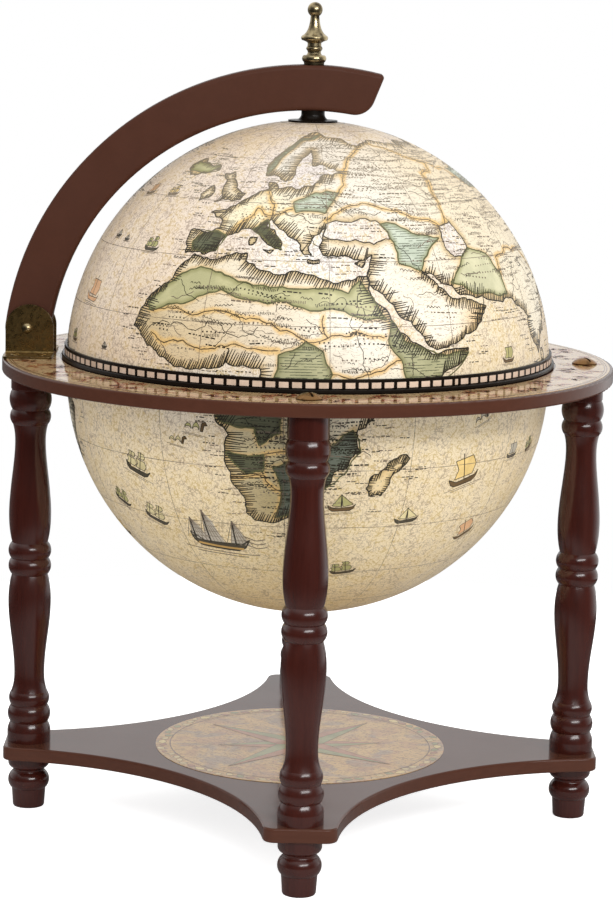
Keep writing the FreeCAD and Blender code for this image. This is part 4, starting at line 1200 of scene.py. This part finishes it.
# Shapes of the vessels, as shares of their length, from the middle of the waterline
HULL = (
    (-0.45, 0.14), (-0.40, -0.02), (-0.30, -0.10), (0.27, -0.11), (0.39, -0.04), (0.48, 0.13),
    (0.37, 0.04), (-0.24, 0.01), (-0.33, 0.07),
)
BEAST_HEAD = ((0.26, 0.0), (0.30, 0.34), (0.44, 0.44), (0.56, 0.30), (0.42, 0.26), (0.38, 0.0))
GREY, GOLD, RUST, LEAF, PALE = (
    linear(200, 190, 172), linear(246, 212, 138), linear(230, 180, 134), linear(190, 184, 124),
    linear(230, 214, 162))
WOOD, BLACK, AMBER = linear(112, 88, 56), linear(84, 76, 60), linear(208, 166, 96)
# (kind, longitude, latitude, length in mm, turn in degrees, facing, tint of the sails, tint of the hull)
SHIPS = (
    ("great", -14.7, -36.1, 46, -4, 1, GREY, AMBER), ("pair", -34.8, -18.2, 24, -18, 1, PALE, BLACK),
    ("pair", -46.1, -27.9, 18, -26, 1, LEAF, BLACK), ("pair", -33.8, -31.1, 22, -22, 1, PALE, BLACK),
    ("beast", -16.3, -6.5, 16, -8, 1, LEAF, WOOD), ("beast", -21.1, -9.7, 13, -10, 1, PALE, WOOD),
    ("cog", 50.6, -18.6, 27, 14, 1, GOLD, WOOD), ("boat", 36.3, -28.1, 19, 6, 1, PALE, BLACK),
    ("cog", 67.7, -14.4, 14, 4, 1, GREY, BLACK), ("pair", 77.4, -13.7, 13, 26, 1, LEAF, WOOD),
    ("pair", 22.1, -44.6, 19, 10, 1, LEAF, BLACK), ("boat", 18.5, -24.1, 20, 4, 1, LEAF, WOOD),
    ("beast", 53.6, -4.3, 14, 20, 1, GREY, BLACK), ("cog", 60.6, -34.8, 20, 30, 1, RUST, WOOD),
    ("pair", -47.6, 31.2, 15, 0, 1, LEAF, BLACK), ("boat", -66.8, 32.9, 9, 0, 1, GREY, BLACK),
    ("boat", -60.5, 32.4, 7, 0, -1, GREY, BLACK), ("cog", -66.5, 17.3, 21, -4, 1, RUST, RUST),
    ("boat", -54.9, 7.0, 7, 0, 1, GREY, BLACK), ("cog", -67.7, 45.5, 13, 14, 1, RUST, WOOD),
    ("pair", -53.0, 46.2, 12, 10, 1, GOLD, WOOD), ("pair", -72.5, 6.8, 12, 0, 1, LEAF, WOOD),
    ("cog", 52.6, 6.1, 14, 0, 1, LEAF, WOOD), ("great", 165, 22, 30, 0, -1, GOLD, WOOD),
    ("pair", -165, 8, 22, 0, 1, PALE, BLACK), ("pair", -140, -14, 24, 0, -1, GREY, AMBER),
    ("cog", 175, -18, 20, 0, 1, GOLD, RUST), ("beast", 130, 14, 18, 0, 1, LEAF, WOOD),
    ("pair", 92, -30, 20, 0, 1, PALE, BLACK), ("cog", -62, -40, 18, 0, -1, GOLD, WOOD),
    ("pair", -120, -30, 22, 0, 1, LEAF, WOOD), ("cog", -150, 30, 18, 0, 1, GREY, AMBER),
    ("great", 145, -45, 34, 0, 1, PALE, AMBER),
)


def draw_vessel(ink, kind, sheet, size, sails, hull, tones):
    """One small ship, boat or sea beast, on a sheet whose middle is its waterline."""
    pen = max(FINE_PEN, 0.02 * size)

    def scaled(points):
        return [(x * size, y * size) for x, y in points]

    def shape(points, fill):
        ink.drawn(sheet, scaled(points), fill, pen, tones.ink)

    def stroke(points, width):
        ink.pen(sheet, scaled(points), width * pen, tones.faint_ink)

    def mast(x, height, lean=0.0):
        ink.pen(sheet, scaled([(x, 0), (x + lean, height)]), pen * 1.3, tones.ink)

    def sail(x, y, width, height, lean=0.0):
        left, right, belly = x - width / 2, x + width / 2, 0.22 * width
        shape([(left, y), (right, y), (right + belly, y + height / 2), (right + lean, y + height),
               (left + lean, y + height), (left + belly, y + height / 2)], sails)

    if kind == "beast":
        for x, height in ((-0.30, 0.24), (0.06, 0.34)):
            turns = np.linspace(0.2, math.pi - 0.2, 7)
            curve = [(x + 0.16 * math.cos(turn), height * math.sin(turn)) for turn in turns]
            inner = [(px * 0.92 + x * 0.08, py * 0.5) for px, py in reversed(curve)]
            shape(curve + inner, sails)
        shape(BEAST_HEAD, hull)
    else:
        shape(HULL, BLACK if kind == "great" else hull)
    if kind == "great":
        for x, height, lean in ((-0.36, 0.42, -0.06), (-0.13, 0.60, -0.07), (0.26, 0.48, 0.0)):
            furled = [(x - 0.08, 0.02), (x + 0.22, 0.02), (x + 0.08, height * 0.7), (x + lean, height)]
            ink.patch(sheet, scaled(furled), sails)
            for share in (0.2, 0.36, 0.52, 0.68, 0.84):
                wide, y = 0.24 * (1 - share) + 0.03, height * share
                stroke([(x - 0.3 * wide + lean * share, y), (x + wide, y + 0.02)], 0.45)
            for spread in (-0.14, -0.07, 0.06, 0.12, 0.18, 0.25):
                stroke([(x + lean, height), (x + spread, 0.02)], 0.45)
            mast(x, height, lean)
        ink.pen(sheet, scaled([(-0.34, -0.055), (0.36, -0.065)]), 0.04 * size, hull, layer=ink.LINE + 1)
        for y in (0.20, 0.12, 0.04):
            stroke([(0.40, y), (0.58, y - 0.08), (0.72, y - 0.05)], 0.8)
    elif kind == "pair":
        for x, height in ((-0.26, 0.50), (0.10, 0.62)):
            mast(x, height)
            sail(x, 0.09, 0.32, height * 0.44)
            sail(x, 0.12 + height * 0.47, 0.22, height * 0.28)
    elif kind == "cog":
        mast(0.02, 0.74)
        sail(0.0, 0.10, 0.56, 0.50, 0.04)
    elif kind == "boat":
        mast(0.02, 0.54)
        for tip in (0.40, -0.30):
            shape([(0.02 + 0.1 * tip, 0.06), (0.02, 0.52), (tip, 0.12)], sails)
    for y, spread in ((-0.19, 0.58), (-0.24, 0.40)):
        stroke([(-spread, y), (0, y + 0.02), (spread, y)], 0.8)


def print_half(name, body, world, centre_z, turn_degrees, low_z, high_z, seed):
    """All the printed lines of one half of the globe, as one piece."""
    tones = settings().map
    chance = random.Random(seed)
    ink = GlobePrint(centre_z, tones.globe_radius, turn_degrees, low_z, high_z)

    def rule(lines, width, tint, uneven=0.25):
        for line in lines:
            ink.line(ink.directions(line), width * MM, tint, chance, uneven=uneven)

    rule(world.borders, 0.7, tones.border_ink)
    rule(world.land.outlines + world.land.holes, 0.85, tones.ink)
    hatch_coasts(ink, world.land, tones.ink, chance)
    hatch_countries(ink, world.greens, tones.green_hatch, chance)
    rule(world.greens.outlines, 1.0, tones.green_ink)
    rule(world.rivers, 0.46, tones.ink)
    parallels = [[(lon, lat + 0.4) for lon in range(-180, 181, 2)] for lat in range(-75, 76, 15)]
    meridians = [[(lon - 0.5, lat) for lat in range(-84, 85, 2)] for lon in range(-175, 180, 30)]
    rule(parallels, 0.34, tones.faint_ink, 0.4)
    rule(meridians, 0.3, tones.faint_ink, 0.4)
    rule([[(lon, tones.polar_circle) for lon in range(-180, 181, 4)]], 0.9, tones.ink)
    for fill in (inland_rows, hills, streams, southern_rows, sea_rows):
        fill(ink, world.land, chance, tones)
    for kind, lon, lat, length, turn, facing, sails, hull in SHIPS:
        sheet = ink.sheet(lon, lat, math.radians(turn), facing)
        draw_vessel(ink, kind, sheet, length * MM, sails, hull, tones)
    return add_piece(ink.mesh(name), body, printed_tint(name + "_tint"))


# What is drawn on the flat papers
LEAF_SHAPE = ((0, 0), (0.30, 0.5), (0.66, 0.42), (1, 0), (0.70, -0.26), (0.34, -0.34))
LEAF_PEN = 0.4 * MM
SCROLL_BROWN, CLAY, ROSE, SCROLL_GOLD, RING_LINE = (
    linear(146, 92, 66), linear(170, 98, 66), linear(204, 146, 104), linear(226, 194, 132),
    linear(120, 82, 60))
SCROLL_REACH = 10 * MM
CURL_STEPS, CURL_FROM, CURL_SWEEP = 16, -0.4, 5.4
STAR_GREEN, STAR_BROWN, STAR_EDGE, STAR_GOLD, BRIGHT_LEAF = (
    linear(154, 154, 112), linear(178, 132, 104), linear(124, 100, 78), linear(214, 194, 144),
    linear(224, 202, 140))
BORDER_LEAVES, BRIGHT_EVERY = 72, 9


def leaf(ink, sheet, x, y, angle, length, width, fill, edge):
    """One pointed leaf from a place, with a thin outline."""
    cos, sin = math.cos(angle), math.sin(angle)
    outline = []
    for along, across in LEAF_SHAPE:
        outline.append((x + length * along * cos - width * across * sin,
                        y + length * along * sin + width * across * cos))
    ink.drawn(sheet, outline, fill, LEAF_PEN, edge)


def print_scrolls(ink, radius, units, chance):
    """A band of leafy scrolls round the ring, turned up and down in turn."""
    length = 2 * math.pi * radius / units

    def scroll_leaf(sheet, x, y, angle, width):
        leaf(ink, sheet, x, y, angle, chance.uniform(6, 9) * MM, width * MM,
             chance.choice((CLAY, ROSE, SCROLL_GOLD)), SCROLL_BROWN)

    for index in range(units):
        sheet = ink.polar_sheet(radius, 2 * math.pi * index / units)
        side = 1 if index % 2 else -1
        curl = []
        for step in range(CURL_STEPS + 1):
            share = step / CURL_STEPS
            angle = CURL_FROM + CURL_SWEEP * share
            reach = SCROLL_REACH * (1 - 0.72 * share)
            curl.append((reach * math.sin(angle), side * (reach * math.cos(angle) - 1.5 * MM)))
        spots = sheet(np.array(curl))
        ink.line(spots, 2.8 * MM, ROSE, chance, ink.WASH, 0.3)
        ink.line(spots, 0.6 * MM, CLAY, chance)
        stem = [(-length / 2, -side * 4 * MM), (-length / 4, -side * 9 * MM), (0, side * -10 * MM),
                (length / 4, -side * 3 * MM), (length / 2, side * 4 * MM)]
        ink.line(sheet(np.array(stem)), 1.6 * MM, CLAY, chance, ink.WASH, 0.3)
        for x, y in curl[1:-1]:
            scroll_leaf(sheet, x, y, math.atan2(y, x) + chance.uniform(-0.3, 0.5), 4.6)
        for x, y in stem[1:-1]:
            scroll_leaf(sheet, x, y, chance.uniform(-2.6, -0.4) * side, 4.4)


def print_star(ink, radius, chance):
    """A compass star of eight rays, its circles and a border of small leaves."""
    def at(reach, degrees):
        return reach * math.cos(math.radians(degrees)), reach * math.sin(math.radians(degrees))

    def flat(points):
        return np.column_stack([points, np.zeros(len(points))])

    layer = ink.PATCH
    for reach, waist, first in ((0.57, 0.14, 6.5), (0.78, 0.16, 51.5)):
        for quarter in range(4):
            middle = first + 90 * quarter
            for side, tint in ((-1, STAR_GREEN), (1, STAR_BROWN)):
                ray = [(0, 0), at(radius * waist, middle + side * 45), at(radius * reach, middle)]
                ink.drawn(flat, ray, tint, LEAF_PEN, STAR_EDGE, layer)
                layer += 0.25
    ink.circle(radius * 0.9, 0.8 * MM, STAR_EDGE, chance)
    ink.circle(radius * 0.995, 1.0 * MM, STAR_EDGE, chance)
    for index in range(BORDER_LEAVES):
        sheet = ink.polar_sheet(radius * 0.95, 2 * math.pi * index / BORDER_LEAVES)
        if index % BRIGHT_EVERY == 0:
            leaf(ink, sheet, -5 * MM, 0, 0.0, 10 * MM, 7 * MM, BRIGHT_LEAF, STAR_EDGE)
        else:
            leaf(ink, sheet, -3 * MM, 0, chance.uniform(-0.9, 0.9), 7.4 * MM, 5.6 * MM,
                 chance.choice((STAR_GREEN, STAR_BROWN, STAR_GOLD, STAR_GOLD)), STAR_EDGE)


# Operators
class GLOBEBAR_OT_woodwork(bpy.types.Operator):
    """Lacquer on the ring, the shelf, the arm and the trays, and stain on the legs and feet"""
    bl_idname = "globebar.woodwork"
    bl_label = "Woodwork"

    def execute(self, context):
        wood = settings().wood
        boards = lacquered_wood(
            "board_lacquer", wood.board, dimmed(wood.board, 0.8), (4, 60, 60), scale=4.0, depth=0.6,
            low=0.13, high=0.21, specular=0.24)
        arm = lacquered_wood(
            "arm_lacquer", wood.arm, dimmed(wood.arm, 0.85), (60, 60, 60), scale=1.2, depth=0.5,
            low=0.36, high=0.46, specular=0.12)
        stain = lacquered_wood(
            "leg_stain", wood.leg, wood.leg_dark, (60, 60, 3), scale=1.4, depth=0.5,
            low=0.16, high=0.25, specular=0.6)
        trays = lacquered_wood(
            "tray_lacquer", wood.inside, dimmed(wood.inside, 0.8), (5, 60, 60), scale=4.0, depth=0.6,
            low=0.3, high=0.42, specular=0.25)
        dress(["shelf_board", "ring_board"], boards)
        dress(["meridian_arm"], arm)
        dress(["leg_" + name for name in LEG_NAMES], stain)
        dress(["foot_" + name for name in LEG_NAMES], stain)
        dress(["glass_tray", "tray_floor", "bottle_rest"], trays)
        return {"FINISHED"}


class GLOBEBAR_OT_metalwork(bpy.types.Operator):
    """Antique brass, dark hinge plates, plated steel and the nylon washers"""
    bl_idname = "globebar.metalwork"
    bl_label = "Metalwork"

    def execute(self, context):
        metal = settings().metal
        bright = antique_brass(
            "rubbed_brass", metal.brass, metal.patina, rubbed=0.62, scale=140.0, reach=4.5 * MM)
        # The plates' outer edges get brighter brass: partly wear, partly a painted highlight
        plates = antique_brass(
            "plate_brass", metal.plate, dimmed(metal.plate, 0.3), rubbed=0.56, scale=260.0, reach=2 * MM,
            worn_and_lit_edges=True)
        bolts = antique_brass(
            "bolt_brass", metal.bolt, metal.patina, rubbed=0.66, scale=150.0, reach=1.6 * MM)
        steel = plain_finish(
            "plated_steel", dimmed(metal.steel, 0.75), metal.steel, scale=120.0, low=0.26, high=0.42,
            Metallic=1.0)
        nylon = plain_finish(
            "white_nylon", metal.nylon_cloud, metal.nylon, scale=200.0, low=0.42, high=0.55)
        dress(["finial", "pivot_pin", "spindle_nut"], bright)
        dress(["front_hinge_plate", "rear_hinge_plate"], plates)
        dress(["hinge_screws", "hinge_leg_bolt"], plates)
        dress(["ring_bolts"], bolts)
        dress(["leg_inserts"], bright)
        dress(["hanger_bolts", "spindle_rod", "crown_washer"], steel)
        dress(["pivot_washers"], nylon)
        return {"FINISHED"}


class GLOBEBAR_OT_prints(bpy.types.Operator):
    """Printed papers on the ring and the shelf, and the plain linings of the globe"""
    bl_idname = "globebar.prints"
    bl_label = "Printed papers"
    SEED = 8

    def execute(self, context):
        paper = settings().paper
        chance = random.Random(self.SEED)
        dress(["ring_print"], printed_ring("ring_paper"))
        dress(["shelf_print"], printed_shelf("shelf_paper"))
        dress(["bowl_lining", "lid_lining"], plain_paper("lining_paper", paper.lining))

        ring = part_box("ring_print")[1]
        rim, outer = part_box("bowl_rim")[1].x, ring.x - paper.outer_line
        ink = FlatPrint(ring.z, rim + paper.bare_edge, ring.x - paper.bare_edge)
        print_scrolls(ink, (rim + outer) / 2, paper.scrolls, chance)
        for radius in (outer, outer - paper.line_gap):
            ink.circle(radius, 0.6 * MM, RING_LINE, chance)
        scrolls = printed_tint("scroll_tint", low=0.07, high=0.13, specular=1.0)
        add_piece(ink.mesh("ring_scrolls"), "stand", scrolls)

        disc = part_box("shelf_print")[1]
        ink = FlatPrint(disc.z, 0, disc.x - paper.bare_edge)
        print_star(ink, disc.x, chance)
        star = printed_tint("star_tint", low=0.1, high=0.18, specular=0.4)
        add_piece(ink.mesh("shelf_star"), "stand", star)
        return {"FINISHED"}


class GLOBEBAR_OT_bands(bpy.types.Operator):
    """Satin black rim, band, inner ring and collar, and the cream squares on the band"""
    bl_idname = "globebar.bands"
    bl_label = "Bands"

    def execute(self, context):
        band = settings().band
        black = plain_finish(
            "satin_black", dimmed(band.black, 0.8), band.black, scale=40.0, low=0.24, high=0.38,
            ripples=0.3, Specular_IOR_Level=0.15)
        dress(["bowl_rim", "lid_inner_ring", "spindle_collar"], black)
        dress(["lid_band"], black)

        low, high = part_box("lid_band")
        radius = high.x + band.layer
        bottom, top = low.z + band.lift, low.z + band.lift + band.height
        seam_pitch = band.seam_width / radius * 2
        pitch = (2 * math.pi - seam_pitch) / band.count
        squares = [(band.seam, band.seam_width)]
        for index in range(band.count):
            squares.append((band.seam + seam_pitch / 2 + (index + 0.5) * pitch, band.width))
        points, faces = [], []
        for middle, width in squares:
            first = len(points)
            for share in (-0.5, 0, 0.5):
                angle = middle + share * width / radius
                x, y = radius * math.sin(angle), -radius * math.cos(angle)
                points += [(x, y, bottom), (x, y, top)]
            faces += [(start, start + 2, start + 3, start + 1) for start in (first, first + 2)]
        mesh = new_mesh("lid_band_squares", points, faces)
        write_values(mesh, "tint", np.tile(band.square, (len(points), 1)))
        add_piece(mesh, "lid", printed_tint("cream_squares"))
        return {"FINISHED"}


class GLOBEBAR_OT_globe(bpy.types.Operator):
    """The two halves of the globe with their printed map"""
    bl_idname = "globebar.globe"
    bl_label = "Globe"
    BOWL_SEED, LID_SEED = 5, 3
    # The lid's print ends so far below the flat at its crown
    CROWN_MARGIN = 0.2 * MM

    def execute(self, context):
        tones = settings().map
        radius, inner, fine = tones.globe_radius, tones.globe_radius - tones.shell, tones.spacing
        coarse = 10 * fine
        segments = round(2 * math.pi * radius / fine / 4) * 4
        world = WorldMap()
        surface = map_surface("map_print")

        def add_half(body, outline, centre, turn, low_z, high_z, seed):
            mesh = turned_mesh(body + "_map", outline, segments)
            add_map_values(mesh, world, centre, radius, turn)
            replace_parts(add_piece(mesh, body, surface), body + "_shell")
            print_half(body + "_ink", body, world, centre, turn, low_z, high_z, seed)

        low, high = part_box("bowl_shell")
        centre = low.z + radius
        outer = [(0, low.z)] + arc_points(radius, centre, low.z, centre, fine)[1:]
        within = arc_points(inner, centre, centre, low.z + tones.shell, coarse)
        outline = outer + [(radius, high.z), (inner, high.z)] + within[:-1] + [(0, low.z + tones.shell)]
        add_half("bowl", outline, centre, math.degrees(tones.bowl_turn), low.z, centre, self.BOWL_SEED)

        low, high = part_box("lid_shell")
        centre = low.z - tones.edge_rise
        seat = math.sqrt(radius ** 2 - (high.z - centre) ** 2)
        hole_low = centre + math.sqrt(inner ** 2 - tones.collar_hole ** 2)
        outer = arc_points(radius, centre, low.z, high.z, fine)
        within = arc_points(inner, centre, hole_low, low.z, coarse)
        outline = outer + [(seat * 0.6, high.z), (tones.collar_hole, high.z)] + within + outer[:1]
        add_half("lid", outline, centre, 0.0, low.z, high.z - self.CROWN_MARGIN, self.LID_SEED)
        return {"FINISHED"}


FLOOR_SIDES = 96


def floor_paint(stage):
    """A pale floor that looks white to the camera where no shadow falls. In reflections it is painted
    darker, the more so the farther out: a painted shade that only reflections show.
    """
    material, net, shader = new_material("floor_paint", Roughness=0.9, Specular_IOR_Level=0.0)
    path = net.add("ShaderNodeLightPath").outputs
    # Painted shade in reflections: the floor's colour for glossy rays is dimmed, and dimmed more towards
    # its rim
    reach = net.add("ShaderNodeVectorMath", {0: net.place()}, operation="LENGTH").outputs["Value"]
    fading = net.mix(net.step(reach, stage.fade_from, stage.fade_to), rgba(dimmed(stage.floor, 0.5)),
                     rgba(dimmed(stage.floor, 0.04)))
    net.put(shader["Base Color"], net.mix(path["Is Glossy Ray"], rgba(stage.floor), fading))
    net.put(shader["Emission Color"], (1, 1, 1, 1))
    net.put(shader["Emission Strength"], net.times(path["Is Camera Ray"], stage.floor_glow))
    return material


def add_floor(stage):
    """The round studio floor."""
    sides = range(FLOOR_SIDES)
    turns = [2 * math.pi * side / len(sides) for side in sides]
    rim = [(stage.floor_reach * math.cos(turn), stage.floor_reach * math.sin(turn), 0) for turn in turns]
    mesh = new_mesh("floor", rim, [list(sides)])
    mesh.materials.append(floor_paint(stage))
    new_object("floor", mesh)


def add_surround(stage):
    """White to the camera, a soft light, and a room with a darker front that shows in reflections."""
    world = bpy.data.worlds.new("white_surround")
    world.use_nodes = True
    net = Net(world.node_tree)
    background = world.node_tree.nodes["Background"].inputs
    background["Color"].default_value = (1, 1, 1, 1)
    path = net.add("ShaderNodeLightPath").outputs
    generated = net.add("ShaderNodeTexCoord").outputs["Generated"]
    direction = net.add("ShaderNodeSeparateXYZ", {"Vector": generated}).outputs
    behind = net.step(direction["Y"], -0.4, 0.6, stage.front, 1.0)
    low_right = net.step(direction["X"], 0.1, 0.6, 0.15, 1.0)
    behind = net.times(behind, net.step(direction["Z"], -0.05, 0.12, low_right, 1.0))
    above = net.step(direction["Z"], 0.3, 0.95, 0.0, 0.8)
    mirrored = net.math("MAXIMUM", path["Is Glossy Ray"], path["Is Transmission Ray"])
    lit = net.step(mirrored, 0.0, 1.0, stage.sky, net.math("MAXIMUM", behind, above))
    net.put(background["Strength"], net.step(path["Is Camera Ray"], 0.0, 1.0, lit, 1.0))
    return world


def add_key_lamp(stage):
    data = bpy.data.lights.new("key_lamp", "AREA")
    data.shape = "RECTANGLE"
    data.size, data.size_y = stage.key_width, stage.key_height
    data.energy = stage.key
    lamp = new_object("key_lamp", data)
    lamp.location = stage.key_place
    aim = Vector((0, 0, stage.key_aim)) - Vector(stage.key_place)
    lamp.rotation_euler = aim.to_track_quat("-Z", "Y").to_euler()


def add_camera(stage):
    data = bpy.data.cameras.new("camera")
    data.sensor_width, data.lens = stage.sensor, stage.lens
    data.clip_start, data.clip_end = 0.05, 100.0
    camera = new_object("camera", data)
    turn = (Matrix.Rotation(-stage.heading, 4, "Z") @ Matrix.Rotation(math.pi / 2 - stage.tilt, 4, "X")
            @ Matrix.Rotation(stage.roll, 4, "Z"))
    camera.matrix_world = Matrix.Translation(stage.camera_place) @ turn
    return camera


class GLOBEBAR_OT_stage(bpy.types.Operator):
    """White studio: floor, surround, one wide soft lamp and the camera"""
    bl_idname = "globebar.stage"
    bl_label = "Stage"

    def execute(self, context):
        stage = settings().stage
        scene = context.scene
        scene.view_settings.view_transform = "Standard"
        add_floor(stage)
        scene.world = add_surround(stage)
        add_key_lamp(stage)
        scene.camera = add_camera(stage)
        return {"FINISHED"}


class GLOBEBAR_PT_panel(bpy.types.Panel):
    """Lists the steps that build the globe bar"""
    bl_idname = "GLOBEBAR_PT_panel"
    bl_label = "Globe bar"
    bl_space_type = "VIEW_3D"
    bl_region_type = "UI"
    bl_category = "Globe bar"

    def draw(self, context):
        for step, group in STEPS:
            box = self.layout.box()
            box.operator(step.bl_idname)
            values = getattr(settings(), group)
            for name in values.__annotations__:
                box.prop(values, name)


STEPS = (
    (GLOBEBAR_OT_woodwork, "wood"),
    (GLOBEBAR_OT_metalwork, "metal"),
    (GLOBEBAR_OT_prints, "paper"),
    (GLOBEBAR_OT_bands, "band"),
    (GLOBEBAR_OT_globe, "map"),
    (GLOBEBAR_OT_stage, "stage"),
)
CLASSES = (
    WoodSettings, MetalSettings, PaperSettings, MapSettings, BandSettings, StageSettings,
    GlobeBarSettings,
    *[step for step, _ in STEPS], GLOBEBAR_PT_panel,
)


def register():
    for item in CLASSES:
        bpy.utils.register_class(item)
    bpy.types.Scene.globe_bar = PointerProperty(type=GlobeBarSettings)


def unregister():
    del bpy.types.Scene.globe_bar
    for item in reversed(CLASSES):
        bpy.utils.unregister_class(item)


def main():
    register()
    bpy.ops.globebar.woodwork()
    bpy.ops.globebar.metalwork()
    bpy.ops.globebar.prints()
    bpy.ops.globebar.bands()
    bpy.ops.globebar.globe()
    bpy.ops.globebar.stage()


if __name__ == "__main__":
    main()
